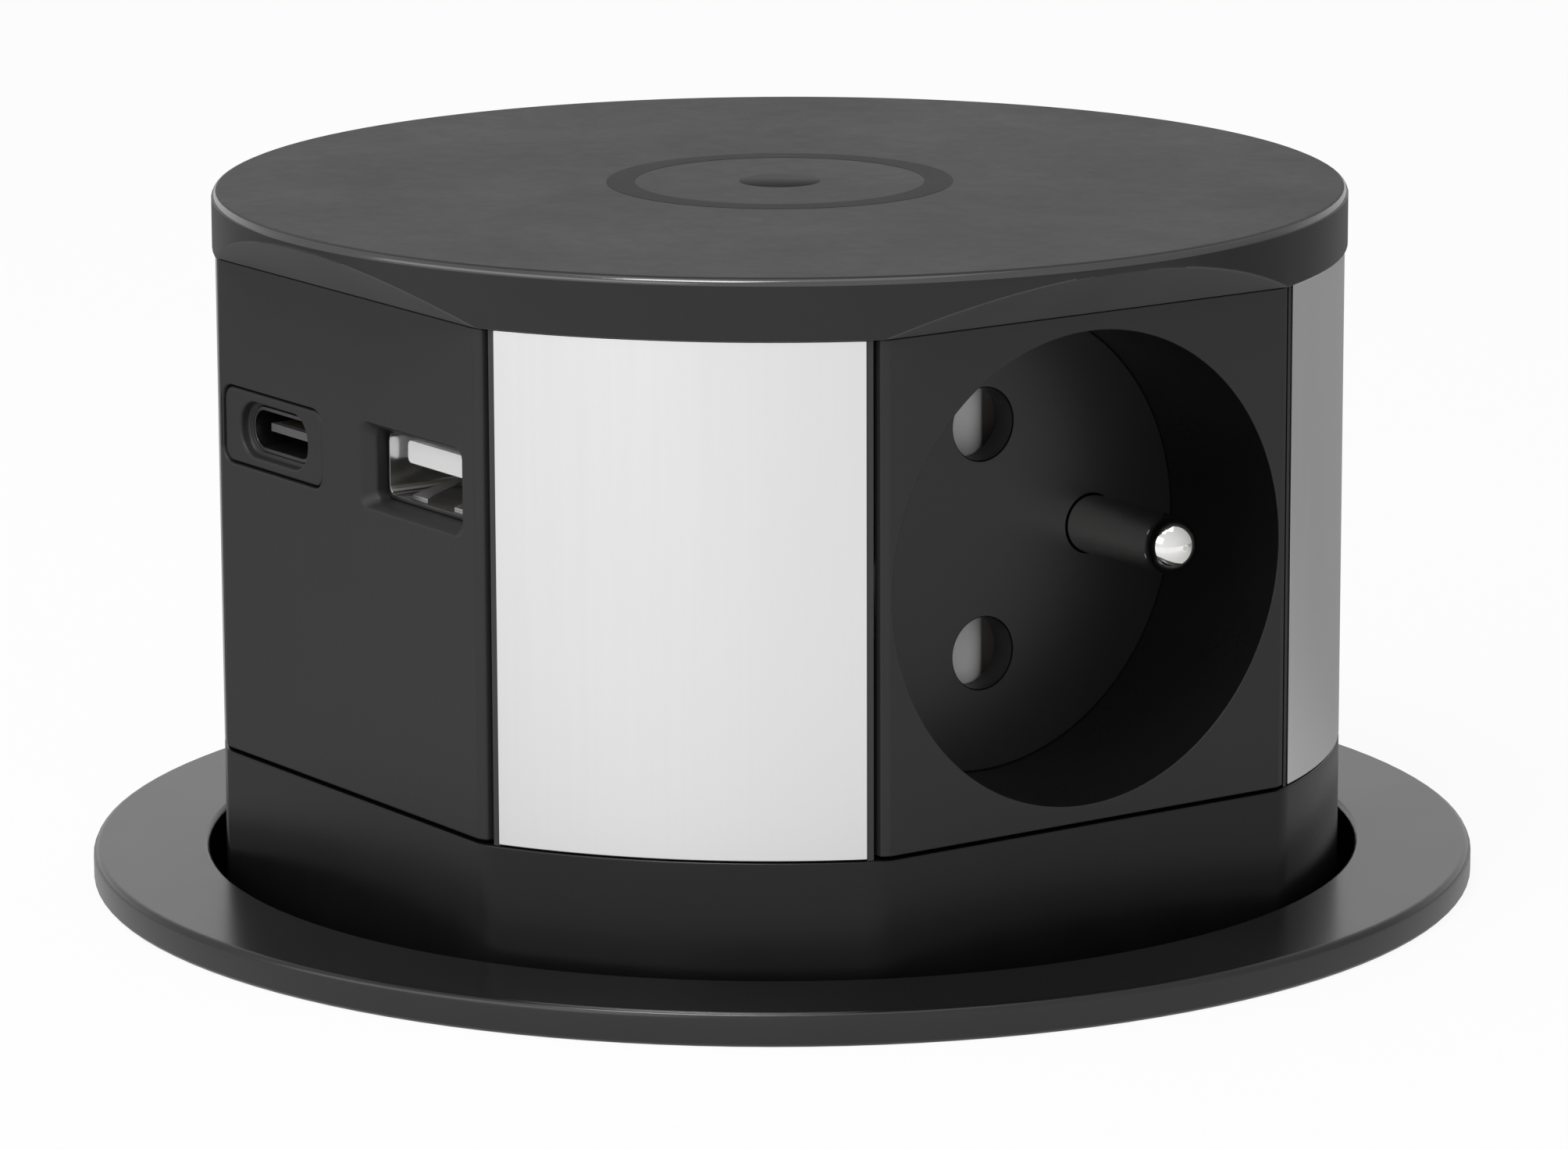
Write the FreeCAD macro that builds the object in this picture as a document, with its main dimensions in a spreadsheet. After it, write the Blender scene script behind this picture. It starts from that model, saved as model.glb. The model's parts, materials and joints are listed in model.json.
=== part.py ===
import FreeCAD, Part
import Sketcher
import os
import re
import sys

App = FreeCAD

# In-desk power module: a round tower that rises out of a flanged barrel in the worktop.
# Millimetres, +Z up. The tower's axis is the Z axis, and Z = 0 is the worktop's top face.
# The tower is drawn raised, as in the photograph. Face 1 looks to -Y and the USB face to -X.

# The driving sizes, each written once. The socket's own sizes lead, and the tower, the cap,
# the barrel and the flange are worked out from them with named walls and clearances.
SIZES = {
    # one socket
    "well_radius": 19.3,
    "well_depth": 14.3,
    "well_floor": 2.5,
    "well_wall": 1.2,
    "well_edge": 0.4,
    "hole_radius": 3.0,
    "hole_spacing": 19.0,
    "earth_inset": 8.4,
    "earth_radius": 2.4,
    "earth_below_face": 1.6,
    "earth_collar_step": 1.2,
    "earth_collar_thickness": 1.0,
    # parts behind a socket's floor
    "shutter_depth": 4.2,
    "shutter_play": 0.2,
    "shutter_side_lap": 0.6,
    "shutter_end_lap": 0.8,
    "shutter_flat": 1.2,
    "shutter_travel": 6.4,
    "carrier_plate": 2.0,
    "carrier_inset": 2.9,
    "carrier_end": 2.0,
    "carrier_core_gap": 3.2,
    "carrier_pillar_radius": 1.8,
    "carrier_pillar_up": 11.0,
    "chamber_reach": 8.5,
    "chamber_half_width": 4.2,
    "chamber_half_height": 4.0,
    "chamber_wall": 1.6,
    "clip_side_gap": 0.8,
    "clip_end_gap": 1.5,
    "clip_strip": 0.7,
    "clip_mouth_gap": 1.0,
    # faces, corner panels and the frame behind them
    "face_plate": 2.2,
    "face_rim": 0.1,
    "face_lap": 0.8,
    "face_margin": 1.4,
    "panel_thickness": 1.5,
    "post_face_gap": 0.4,
    "post_lip": 0.5,
    "post_lip_drop": 0.15,
    "panel_floor_gap": 0.1,
    "seat_play": 0.05,
    "post_wall": 2.0,
    "frame_deck": 1.4,
    "frame_boss_radius": 3.2,
    "frame_boss_roof": 2.0,
    "web_half_width": 0.8,
    # plinth and skirt of the tower
    "plinth_rise": 9.4,
    "plinth_gap": 0.3,
    "skirt_depth": 16.0,
    "skirt_wall": 2.2,
    "tower_deck": 2.0,
    "base_cover_thickness": 1.6,
    "base_boss_radius": 3.4,
    # cap with the charging coil
    "cap_overhang": 0.25,
    "cap_edge": 0.6,
    "cap_top": 1.6,
    "cap_wall": 1.5,
    "cap_flat_wall": 1.5,
    "cap_room": 0.4,
    "rim_band": 1.0,
    "coil_inner": 9.0,
    "coil_outer": 21.0,
    "coil_thickness": 0.9,
    "ferrite_margin": 2.0,
    "ferrite_thickness": 0.7,
    "charger_board_margin": 3.85,
    "board_thickness": 1.6,
    # worktop flange, barrel and clamp nut
    "barrel_gap": 1.2,
    "barrel_wall": 2.2,
    "barrel_boss_radius": 3.0,
    "barrel_boss_roof": 3.0,
    "flange_width": 7.6,
    "flange_thickness": 2.8,
    "flange_edge": 0.6,
    "gasket_inset": 1.6,
    "gasket_margin": 1.0,
    "gasket_thickness": 0.8,
    "nut_top_depth": 24.0,
    "nut_height": 9.0,
    "nut_width": 7.2,
    "nut_clearance": 0.5,
    "nut_edge": 1.0,
    "nut_collar_height": 1.6,
    "nut_collar_step": 1.0,
    "nut_notch_width": 9.0,
    "nut_notch_depth": 2.4,
    # floor of the barrel
    "floor_clearance": 2.2,
    "floor_plate_thickness": 2.0,
    "floor_plate_play": 0.2,
    "floor_cover_wall": 2.4,
    "floor_cover_edge": 1.5,
    "cover_boss_radius": 3.2,
    "floor_screw_radius": 1.4,
    "floor_screw_head_radius": 2.6,
    "floor_screw_head_height": 1.6,
    "floor_screw_bite": 9.0,
    "inlet_bore": 3.8,
    "inlet_sleeve_wall": 1.2,
    "inlet_flange_lip": 1.0,
    "inlet_flange_thickness": 1.6,
    "inlet_room": 0.6,
    # guides, lift spring and catch
    "rod_radius": 2.0,
    "rod_inset": 8.6,
    "rod_head_step": 1.2,
    "rod_head_height": 1.6,
    "rod_head_play": 0.6,
    "bush_play": 0.15,
    "bush_wall": 1.85,
    "bush_length": 6.0,
    "bush_lip": 0.8,
    "bush_lip_height": 1.0,
    "stop_gap": 0.3,
    "tower_screw_radius": 1.5,
    "tower_screw_head_radius": 2.8,
    "tower_screw_head_height": 1.2,
    "tower_screw_bite": 9.0,
    "spring_radius": 6.2,
    "spring_wire": 0.8,
    "spring_turns": 7.0,
    "spring_cup_play": 1.0,
    "spring_cup_wall": 1.6,
    "spring_cup_roof": 5.9,
    "spring_seat_play": 0.2,
    "spring_pilot_height": 3.0,
    "catch_inset": 18.0,
    "catch_width": 14.0,
    "catch_length": 9.0,
    "catch_wall": 2.0,
    "plunger_radius": 2.2,
    "plunger_room": 4.6,
    "plunger_play": 0.3,
    "striker_radius": 3.0,
    "striker_height": 0.9,
    # supply terminals and the way for the wires
    "terminal_width": 24.0,
    "terminal_depth": 11.0,
    "terminal_height": 12.0,
    "terminal_inset": 15.0,
    "terminal_floor": 3.0,
    "terminal_wire_radius": 2.0,
    "wire_hole_radius": 6.0,
    "wire_hole_inset": 18.0,
    # USB face
    "usb_above_middle": 7.1,
    "usb_shell": 0.3,
    "usb_shell_back": 1.0,
    "usb_c_side_margin": 0.3,
    "usb_c_setback": 1.1,
    "usb_c_border_side": 2.4,
    "usb_c_border_top": 0.85,
    "usb_c_corner": 1.2,
    "usb_c_gap": 0.15,
    "usb_c_stand": 0.15,
    "usb_c_bevel_side": 0.53,
    "usb_c_bevel_top": 0.42,
    "usb_c_slot_width": 8.94,
    "usb_c_slot_height": 3.16,
    "usb_c_length": 7.4,
    "usb_c_tongue_side": 1.12,
    "usb_c_tongue_thickness": 0.7,
    "usb_c_tongue_setback": 0.9,
    "usb_a_side_margin": 1.7,
    "usb_a_setback": 2.0,
    "usb_a_bevel_side": 1.07,
    "usb_a_bevel_top": 0.64,
    "usb_a_play": 0.1,
    "usb_a_slot_width": 12.5,
    "usb_a_slot_height": 5.12,
    "usb_a_length": 12.0,
    "usb_a_tongue_side": 0.7,
    "usb_a_tongue_drop": 0.7,
    "usb_a_tongue_thickness": 1.84,
    "usb_a_tongue_setback": 1.3,
    "usb_board_core_gap": 1.2,
    "usb_board_side_play": 0.15,
    "transformer_width": 15.0,
    "transformer_height": 12.0,
    "transformer_length": 14.0,
    "capacitor_radius": 3.5,
    "capacitor_height": 11.0,
    "part_gap": 1.0,
    # shared by many pieces
    "fit_play": 0.1,
    "join_lap": 0.5,
    "tool_margin": 1.0,
}

# Sizes that follow from the driving ones.
WORKED_OUT = {
    "earth_offset": "well_radius - earth_inset",
    "carrier_half_width": "well_radius - carrier_inset",
    "carrier_back": "carrier_half_width + carrier_core_gap",
    "carrier_face": "carrier_back + carrier_plate",
    "well_back": "carrier_face + shutter_depth + 2 * shutter_play",
    "face_reach": "well_back + well_floor + well_depth",
    "face_chord": "well_radius + face_rim",
    "face_half_width": "face_chord + face_lap",
    "tower_radius": "sqrt(face_reach ^ 2 + face_chord ^ 2)",
    "face_height": "2 * (well_radius + face_margin)",
    "face_low": "flange_thickness + plinth_rise",
    "face_high": "face_low + face_height",
    "well_height": "face_low + face_height / 2",
    "plinth_top": "face_low - plinth_gap",
    "base_low": "0 - skirt_depth",
    "base_cover_top": "base_low + base_cover_thickness",
    "shutter_half_width": "hole_radius + shutter_side_lap",
    "shutter_half_height": "hole_spacing / 2 + hole_radius + shutter_end_lap",
    "carrier_half_height": "hole_spacing / 2 + chamber_half_height + carrier_end",
    "pillar_place": "shutter_half_width + shutter_travel + carrier_pillar_radius + shutter_play",
    "clip_half_width": "chamber_half_width - clip_side_gap",
    "clip_half_height": "chamber_half_height - clip_end_gap",
    "panel_inner": "tower_radius - panel_thickness",
    "post_side": "face_half_width + post_face_gap",
    "panel_side": "post_side + post_lip + seat_play",
    "post_outer": "panel_inner - seat_play",
    "cap_radius": "tower_radius + cap_overhang",
    "cap_rim": "frame_deck + cap_room + ferrite_thickness + coil_thickness + cap_top",
    "cap_ceiling": "face_high + cap_rim - cap_top",
    "undercut_rise": "cap_rim - rim_band",
    "charger_board_half": "post_side - charger_board_margin",
    "lift_travel": "plinth_rise + face_height + cap_rim",
    "barrel_bore": "cap_radius + barrel_gap",
    "barrel_outer": "barrel_bore + barrel_wall",
    "barrel_depth": "skirt_depth + lift_travel + floor_clearance + floor_plate_thickness",
    "flange_radius": "barrel_outer + flange_width",
    "gasket_inner": "barrel_outer + gasket_inset",
    "gasket_outer": "flange_radius - gasket_margin",
    "nut_radius": "barrel_outer + nut_width",
    "boss_place": "barrel_bore - barrel_boss_radius + 0.6 * barrel_wall",
    "floor_plate_top": "floor_plate_thickness - barrel_depth",
    "inlet_outer": "inlet_bore + inlet_sleeve_wall",
    "inlet_rim": "inlet_outer + inlet_flange_lip",
    "cover_bottom": "0 - barrel_depth - 2 * inlet_rim - inlet_room - floor_cover_wall",
    "cover_floor": "cover_bottom + floor_cover_wall",
    "cover_inner": "barrel_outer - floor_cover_wall",
    "inlet_height": "(cover_floor - barrel_depth) / 2",
    "inlet_seat": "sqrt(cover_inner ^ 2 - inlet_rim ^ 2)",
    "rod_place": "tower_radius - rod_inset",
    "rod_head_radius": "rod_radius + rod_head_step",
    "bush_outer": "rod_radius + bush_play + bush_wall",
    "spring_cup_bore": "spring_radius + spring_wire + spring_cup_play",
    "spring_cup_top": "plinth_top - spring_cup_roof",
    "catch_place": "face_reach - catch_inset",
    "plunger_top": "base_low - lift_travel - striker_height - plunger_play",
    "terminal_place": "face_reach - terminal_inset",
    "wire_hole_place": "face_reach - wire_hole_inset",
    "usb_height": "well_height + usb_above_middle",
    "usb_c_front": "face_reach - usb_c_setback",
    "usb_a_front": "face_reach - usb_a_setback",
    "usb_c_shell_width": "usb_c_slot_width + 2 * usb_shell",
    "usb_c_shell_height": "usb_c_slot_height + 2 * usb_shell",
    "usb_c_mouth_width": "usb_c_shell_width + 2 * usb_c_bevel_side",
    "usb_c_mouth_height": "usb_c_shell_height + 2 * usb_c_bevel_top",
    "usb_c_width": "usb_c_mouth_width + 2 * usb_c_border_side",
    "usb_c_height": "usb_c_mouth_height + 2 * usb_c_border_top",
    "usb_c_middle": "usb_c_side_margin + usb_c_width / 2 - face_chord",
    "usb_a_hole_width": "usb_a_slot_width + 2 * usb_shell + 2 * usb_a_play",
    "usb_a_hole_height": "usb_a_slot_height + 2 * usb_shell + 2 * usb_a_play",
    "usb_a_mouth_width": "usb_a_hole_width + 2 * usb_a_bevel_side",
    "usb_a_mouth_height": "usb_a_hole_height + 2 * usb_a_bevel_top",
    "usb_a_middle": "face_chord - usb_a_side_margin - usb_a_mouth_width / 2",
    "usb_a_floor": "usb_height - usb_a_slot_height / 2 - usb_shell",
    "usb_board_back": "carrier_half_width + usb_board_core_gap",
}

FACES = {"1": -90, "2": 0, "3": 90}
USB_FACE = 180
CORNERS = {"1": -45, "2": 45, "3": 135, "4": -135}
GUIDE_CORNERS = (45, -135)
SCREW_CORNERS = (-45, 135)
AXES = (0, 90, 180, 270)

doc = FreeCAD.newDocument("power_module")
sheet = doc.addObject("Spreadsheet::Sheet", "Sizes")
names = set(SIZES) | set(WORKED_OUT)
made = []


def formula(text):
    """Return the text with each size name pointing at the sheet."""
    def point(word):
        return "Sizes." + word.group() if word.group() in names else word.group()
    return re.sub(r"[a-z][a-z_]*", point, str(text))


def fill_sheet():
    row = 0
    for name, size in SIZES.items():
        row += 1
        sheet.set(f"A{row}", name)
        sheet.set(f"B{row}", str(size))
        sheet.setAlias(f"B{row}", name)
    doc.recompute()
    for name, rule in WORKED_OUT.items():
        row += 1
        sheet.set(f"A{row}", name)
        sheet.set(f"B{row}", "=" + re.sub(r"Sizes\.", "", formula(rule)))
        sheet.setAlias(f"B{row}", name)
        doc.recompute()


def bind(thing, prop, rule):
    thing.setExpression(prop, formula(rule))


def place(thing, x=0, y=0, z=0):
    for axis, rule in zip("xyz", (x, y, z)):
        if rule != 0:
            bind(thing, f".Placement.Base.{axis}", rule)


def turn(thing, axis, degrees):
    thing.Placement = App.Placement(App.Vector(0, 0, 0), App.Rotation(App.Vector(*axis), degrees))
    return thing


def box(name, x, y, z):
    """A box between two rules along each axis."""
    thing = doc.addObject("Part::Box", name)
    for prop, (low, high) in (("Length", x), ("Width", y), ("Height", z)):
        bind(thing, prop, f"({high}) - ({low})")
    place(thing, x[0], y[0], z[0])
    return thing


def rod(name, radius, low, high, x=0, y=0):
    """An upright cylinder."""
    thing = doc.addObject("Part::Cylinder", name)
    bind(thing, "Radius", radius)
    bind(thing, "Height", f"({high}) - ({low})")
    place(thing, x, y, low)
    return thing


def pin(name, radius, low, high, y=0, z=0):
    """A cylinder that lies along X."""
    thing = doc.addObject("Part::Cylinder", name)
    turn(thing, (0, 1, 0), 90)
    bind(thing, "Radius", radius)
    bind(thing, "Height", f"({high}) - ({low})")
    place(thing, low, y, z)
    return thing


def joined(name, *parts):
    thing = doc.addObject("Part::MultiFuse", name)
    thing.Shapes = list(parts)
    return thing


def overlap(name, first, second):
    thing = doc.addObject("Part::Common", name)
    thing.Base = first
    thing.Tool = second
    return thing


def cut(name, base, *tools):
    thing = doc.addObject("Part::Cut", name)
    thing.Base = base
    thing.Tool = tools[0] if len(tools) == 1 else joined(name + "_tools", *tools)
    return thing


def swung(thing, angle):
    """The piece as it is, turned about the tower's axis."""
    holder = doc.addObject("Part::Compound", thing.Name + "_swung")
    holder.Links = [thing]
    return turn(holder, (0, 0, 1), angle)


def spun(name, make, angles):
    """The same piece at several angles about the tower's axis, as one list."""
    return [swung(make(f"{name}_{number}"), angle) for number, angle in enumerate(angles, 1)]


def origin_plane(body, role):
    for feature in body.Origin.OriginFeatures:
        if feature.Role == role:
            return feature
    raise ValueError(role)


def outline(body, name, role, corners, low=0):
    """A closed sketch whose corners are pairs of rules."""
    sketch = body.newObject("Sketcher::SketchObject", name)
    sketch.AttachmentSupport = (origin_plane(body, role), [""])
    sketch.MapMode = "FlatFace"
    if low != 0:
        bind(sketch, ".AttachmentOffset.Base.z", low)
    count = len(corners)
    start = [App.Vector(10 + 5 * number, 3 * number * number, 0) for number in range(count)]
    for number in range(count):
        line = Part.LineSegment(start[number], start[(number + 1) % count])
        sketch.addGeometry(line)
    for number in range(count):
        after = (number + 1) % count
        sketch.addConstraint(Sketcher.Constraint("Coincident", number, 2, after, 1))
    for number, corner in enumerate(corners):
        for kind, rule in zip(("DistanceX", "DistanceY"), corner):
            spot = start[number].x if kind == "DistanceX" else start[number].y
            row = sketch.addConstraint(Sketcher.Constraint(kind, -1, 1, number, 1, spot))
            bind(sketch, f"Constraints[{row}]", rule)
    return sketch


def turned(name, corners):
    """A body turned about Z from pairs of radius and height."""
    body = doc.addObject("PartDesign::Body", name)
    sketch = outline(body, name + "_profile", "XZ_Plane", corners)
    solid = body.newObject("PartDesign::Revolution", name + "_turn")
    solid.Profile = sketch
    solid.ReferenceAxis = (sketch, ["V_Axis"])
    solid.Angle = 360
    return body


def prism(name, corners, low, high):
    """A body with a flat outline in XY, between two heights."""
    body = doc.addObject("PartDesign::Body", name)
    sketch = outline(body, name + "_outline", "XY_Plane", corners, low)
    solid = body.newObject("PartDesign::Pad", name + "_pad")
    solid.Profile = sketch
    bind(solid, "Length", f"({high}) - ({low})")
    return body


def keep(thing, label, angle=0):
    """Name a finished sub-part and turn it to its face."""
    if thing.TypeId in ("Part::Box", "Part::Cylinder") and angle:
        thing.Label = label + "_unturned"
        thing = swung(thing, angle)
    elif angle:
        turn(thing, (0, 0, 1), angle)
    thing.Label = label
    made.append(thing)
    return thing


def tower_outline(name, low, high, inset="0"):
    """The tower's plan: a circle with four flats."""
    disc = rod(name + "_disc", f"tower_radius - ({inset})", low, high)
    reach = f"face_reach - ({inset})"
    square = box(name + "_square", (f"0 - ({reach})", reach), (f"0 - ({reach})", reach), (low, high))
    return overlap(name, disc, square)


# The housing that stays in the worktop


def make_barrel():
    profile = turned("barrel_shell", [
        ("barrel_bore", "0 - barrel_depth"),
        ("barrel_outer", "0 - barrel_depth"),
        ("barrel_outer", "0"),
        ("gasket_inner", "0"),
        ("gasket_inner", "gasket_thickness"),
        ("gasket_outer", "gasket_thickness"),
        ("gasket_outer", "0"),
        ("flange_radius - flange_edge / 2", "0"),
        ("flange_radius", "flange_edge / 2"),
        ("flange_radius", "flange_thickness - flange_edge"),
        ("flange_radius - 0.3 * flange_edge", "flange_thickness - 0.3 * flange_edge"),
        ("flange_radius - flange_edge", "flange_thickness"),
        ("barrel_bore + flange_edge / 2", "flange_thickness"),
        ("barrel_bore", "flange_thickness - flange_edge / 2"),
    ])
    boss_low = "floor_plate_top"
    boss_high = "floor_plate_top + floor_screw_bite + barrel_boss_roof"

    def boss(name):
        return rod(name, "barrel_boss_radius", boss_low, boss_high, "boss_place")

    def pilot(name):
        depth = f"{boss_low} + floor_screw_bite + fit_play"
        return rod(name, "floor_screw_radius", f"{boss_low} - tool_margin", depth, "boss_place")

    bosses = joined("barrel_bosses", *spun("barrel_boss", boss, AXES))
    inside = overlap("barrel_bosses_trim", bosses, rod("barrel_limit", "barrel_bore + barrel_wall / 2",
                                                       boss_low, boss_high))
    shell = joined("barrel_with_bosses", profile, inside)
    return keep(cut("flanged_barrel", shell, *spun("barrel_pilot", pilot, AXES)), "flanged_barrel")


def make_gasket():
    body = turned("gasket", [
        ("gasket_inner + fit_play", "0"),
        ("gasket_outer - fit_play", "0"),
        ("gasket_outer - fit_play", "gasket_thickness"),
        ("gasket_inner + fit_play", "gasket_thickness"),
    ])
    return keep(body, "flange_gasket")


def make_clamp_nut():
    top = "0 - nut_top_depth"
    low = "0 - nut_top_depth - nut_height"
    bore = "barrel_outer + nut_clearance"
    waist = "nut_radius - nut_collar_step"
    notch_top = f"{top} - nut_collar_height - 0.8 * nut_collar_step"
    ring = turned("nut_ring", [
        (bore, low),
        (f"{waist} - nut_edge", low),
        (waist, f"{low} + nut_edge"),
        (waist, notch_top),
        ("nut_radius", f"{top} - nut_collar_height"),
        ("nut_radius", top),
        (bore, top),
    ])

    def notch(name):
        x = ("nut_radius - nut_notch_depth", "nut_radius + tool_margin")
        y = ("0 - nut_notch_width / 2", "nut_notch_width / 2")
        return box(name, x, y, (f"{low} - tool_margin", notch_top))

    notches = spun("nut_notch", notch, range(0, 360, 36))
    return keep(cut("clamp_nut", ring, *notches), "clamp_nut")


def catch_hole(name, low, high, play):
    x = (f"0 - catch_width / 2 - {play}", f"catch_width / 2 + {play}")
    y = (f"catch_place - catch_length / 2 - {play}", f"catch_place + catch_length / 2 + {play}")
    return box(name, x, y, (low, high))


def make_floor_plate():
    low = "0 - barrel_depth"
    under = "0 - barrel_depth - tool_margin"
    over = "floor_plate_top + tool_margin"
    disc = rod("floor_disc", "barrel_bore - floor_plate_play", low, "floor_plate_top")
    seat = rod("spring_pilot", "spring_radius - spring_wire - fit_play", low,
               "floor_plate_top + spring_pilot_height")
    tools = [catch_hole("floor_catch_hole", under, over, "floor_plate_play")]
    tools.append(rod("floor_wire_hole", "wire_hole_radius", under, over, 0, "0 - wire_hole_place"))

    def rod_hole(name):
        return rod(name, "rod_radius", under, over, "rod_place")

    def screw_hole(name):
        return rod(name, "floor_screw_radius + fit_play", under, over, "boss_place")

    tools += spun("floor_rod_hole", rod_hole, GUIDE_CORNERS)
    tools += spun("floor_screw_hole", screw_hole, AXES)
    return keep(cut("floor_plate", joined("floor_blank", disc, seat), *tools), "floor_plate")


def make_floor_cover():
    top = "0 - barrel_depth"
    under = "cover_bottom - tool_margin"
    cup = turned("floor_cup", [
        ("0", "cover_bottom"),
        ("barrel_outer - floor_cover_edge", "cover_bottom"),
        ("barrel_outer", "cover_bottom + floor_cover_edge"),
        ("barrel_outer", top),
        ("cover_inner", top),
        ("cover_inner", "cover_floor"),
        ("0", "cover_floor"),
    ])

    def boss(name):
        return rod(name, "cover_boss_radius", "cover_floor - join_lap", top, "boss_place")

    def shank(name):
        return rod(name, "floor_screw_radius + fit_play", under, f"{top} + tool_margin", "boss_place")

    def head(name):
        return rod(name, "floor_screw_head_radius + fit_play", under,
                   "cover_bottom + floor_screw_head_height", "boss_place")

    bosses = joined("cover_bosses", *spun("cover_boss", boss, AXES))
    limit = rod("cover_limit", "barrel_outer - floor_cover_wall / 2", "cover_bottom", top)
    blank = joined("cover_blank", cup, overlap("cover_boss_trim", bosses, limit))
    tools = spun("cover_shank", shank, AXES) + spun("cover_head", head, AXES)
    inlet = pin("cover_inlet", "inlet_outer", "inlet_seat - inlet_rim", "barrel_outer + tool_margin",
                0, "inlet_height")
    tools.append(swung(inlet, 45))
    return keep(cut("floor_cover", blank, *tools), "floor_cover")


def make_floor_screws():
    def screw(name):
        head = rod(name + "_head", "floor_screw_head_radius", "cover_bottom",
                   "cover_bottom + floor_screw_head_height", "boss_place")
        shank = rod(name + "_shank", "floor_screw_radius", "cover_bottom + join_lap",
                    "floor_plate_top + floor_screw_bite", "boss_place")
        return joined(name, head, shank)

    group = doc.addObject("Part::Compound", "floor_screws")
    group.Links = spun("floor_screw", screw, AXES)
    return keep(group, "floor_screws")


def make_guide_rods():
    def guide(name):
        top = "base_low + bush_length + stop_gap"
        shank = rod(name + "_shank", "rod_radius", "0 - barrel_depth", f"{top} + join_lap", "rod_place")
        head = rod(name + "_head", "rod_head_radius", top, f"{top} + rod_head_height", "rod_place")
        return joined(name, shank, head)

    group = doc.addObject("Part::Compound", "guide_rods")
    group.Links = spun("guide_rod", guide, GUIDE_CORNERS)
    return keep(group, "guide_rods")


def make_lift_spring():
    helix = doc.addObject("Part::Helix", "spring_path")
    span = "spring_cup_top - spring_seat_play - floor_plate_top"
    bind(helix, "Radius", "spring_radius")
    bind(helix, "Height", f"{span} - 2 * spring_wire")
    bind(helix, "Pitch", f"({span} - 2 * spring_wire) / spring_turns")
    section = doc.addObject("Part::RegularPolygon", "spring_section")
    section.Polygon = 6
    bind(section, "Circumradius", "spring_wire")
    section.Placement = App.Placement(App.Vector(0, 0, 0), App.Rotation(App.Vector(1, 0, 0), 90))
    bind(section, ".Placement.Base.x", "spring_radius")
    sweep = doc.addObject("Part::Sweep", "lift_spring")
    sweep.Sections = [section]
    sweep.Spine = (helix, [])
    sweep.Solid = True
    sweep.Frenet = True
    bind(sweep, ".Placement.Base.z", "floor_plate_top + spring_wire")
    return keep(sweep, "lift_spring")


def make_inlet_grommet():
    inside = "inlet_seat - inlet_flange_thickness"
    sleeve = pin("inlet_sleeve", "inlet_outer", inside, "barrel_outer", 0, "inlet_height")
    flange = pin("inlet_flange", "inlet_rim", inside, "inlet_seat", 0, "inlet_height")
    bore = pin("inlet_hole", "inlet_bore", f"{inside} - tool_margin", "barrel_outer + tool_margin",
               0, "inlet_height")
    return keep(cut("cable_grommet", joined("inlet_blank", sleeve, flange), bore), "cable_grommet", 45)


def make_catch():
    case = catch_hole("catch_case", "cover_floor", "floor_plate_top", "0")
    bore = rod("catch_bore", "plunger_radius + fit_play", "cover_floor + catch_wall",
               "floor_plate_top + tool_margin", 0, "catch_place")
    keep(cut("catch_body", case, bore), "catch_body")
    plunger = rod("catch_plunger", "plunger_radius", "cover_floor + catch_wall + plunger_room",
                  "plunger_top", 0, "catch_place")
    return keep(plunger, "catch_plunger")


# The tower's structure


def make_base():
    over = "plinth_top + tool_margin"
    outer = tower_outline("base_outer", "base_low", "plinth_top")
    hollow = tower_outline("base_hollow", "base_low - tool_margin", "plinth_top - tower_deck",
                           "skirt_wall")
    shell = cut("base_shell", outer, hollow)
    cup = rod("spring_cup", "spring_cup_bore + spring_cup_wall", "base_cover_top",
              "plinth_top - join_lap")
    cup_bore = rod("spring_cup_bore_cut", "spring_cup_bore", "base_low - tool_margin", "spring_cup_top")

    def boss(name):
        return rod(name, "base_boss_radius", "base_cover_top", "plinth_top - join_lap", "rod_place")

    def shank(name):
        return rod(name, "tower_screw_radius + fit_play", "base_low", over, "rod_place")

    def head_way(name):
        return rod(name, "rod_head_radius + rod_head_play", "base_cover_top", over, "rod_place")

    blank = joined("base_blank", shell, cup, *spun("base_boss", boss, SCREW_CORNERS))
    tools = [cup_bore] + spun("base_screw_way", shank, SCREW_CORNERS)
    tools += spun("base_rod_way", head_way, GUIDE_CORNERS)
    tools.append(rod("base_wire_way", "wire_hole_radius", "0", over, "wire_hole_place"))
    return keep(cut("tower_base", blank, *tools), "tower_base")


def make_base_cover():
    under = "base_low - tool_margin"
    over = "base_cover_top + tool_margin"
    plate = tower_outline("cover_plate", "base_low", "base_cover_top", "skirt_wall + fit_play")
    tools = [rod("cover_spring_way", "spring_cup_bore", under, over)]
    tools.append(rod("cover_wire_way", "wire_hole_radius", under, over, "wire_hole_place"))

    def bush_hole(name):
        return rod(name, "bush_outer", under, over, "rod_place")

    def shank(name):
        return rod(name, "tower_screw_radius + fit_play", under, over, "rod_place")

    def head(name):
        return rod(name, "tower_screw_head_radius + fit_play", under,
                   "base_low + tower_screw_head_height", "rod_place")

    tools += spun("cover_bush_hole", bush_hole, GUIDE_CORNERS)
    tools += spun("cover_screw_way", shank, SCREW_CORNERS)
    tools += spun("cover_head_way", head, SCREW_CORNERS)
    return keep(cut("base_cover", plate, *tools), "base_cover")


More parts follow.
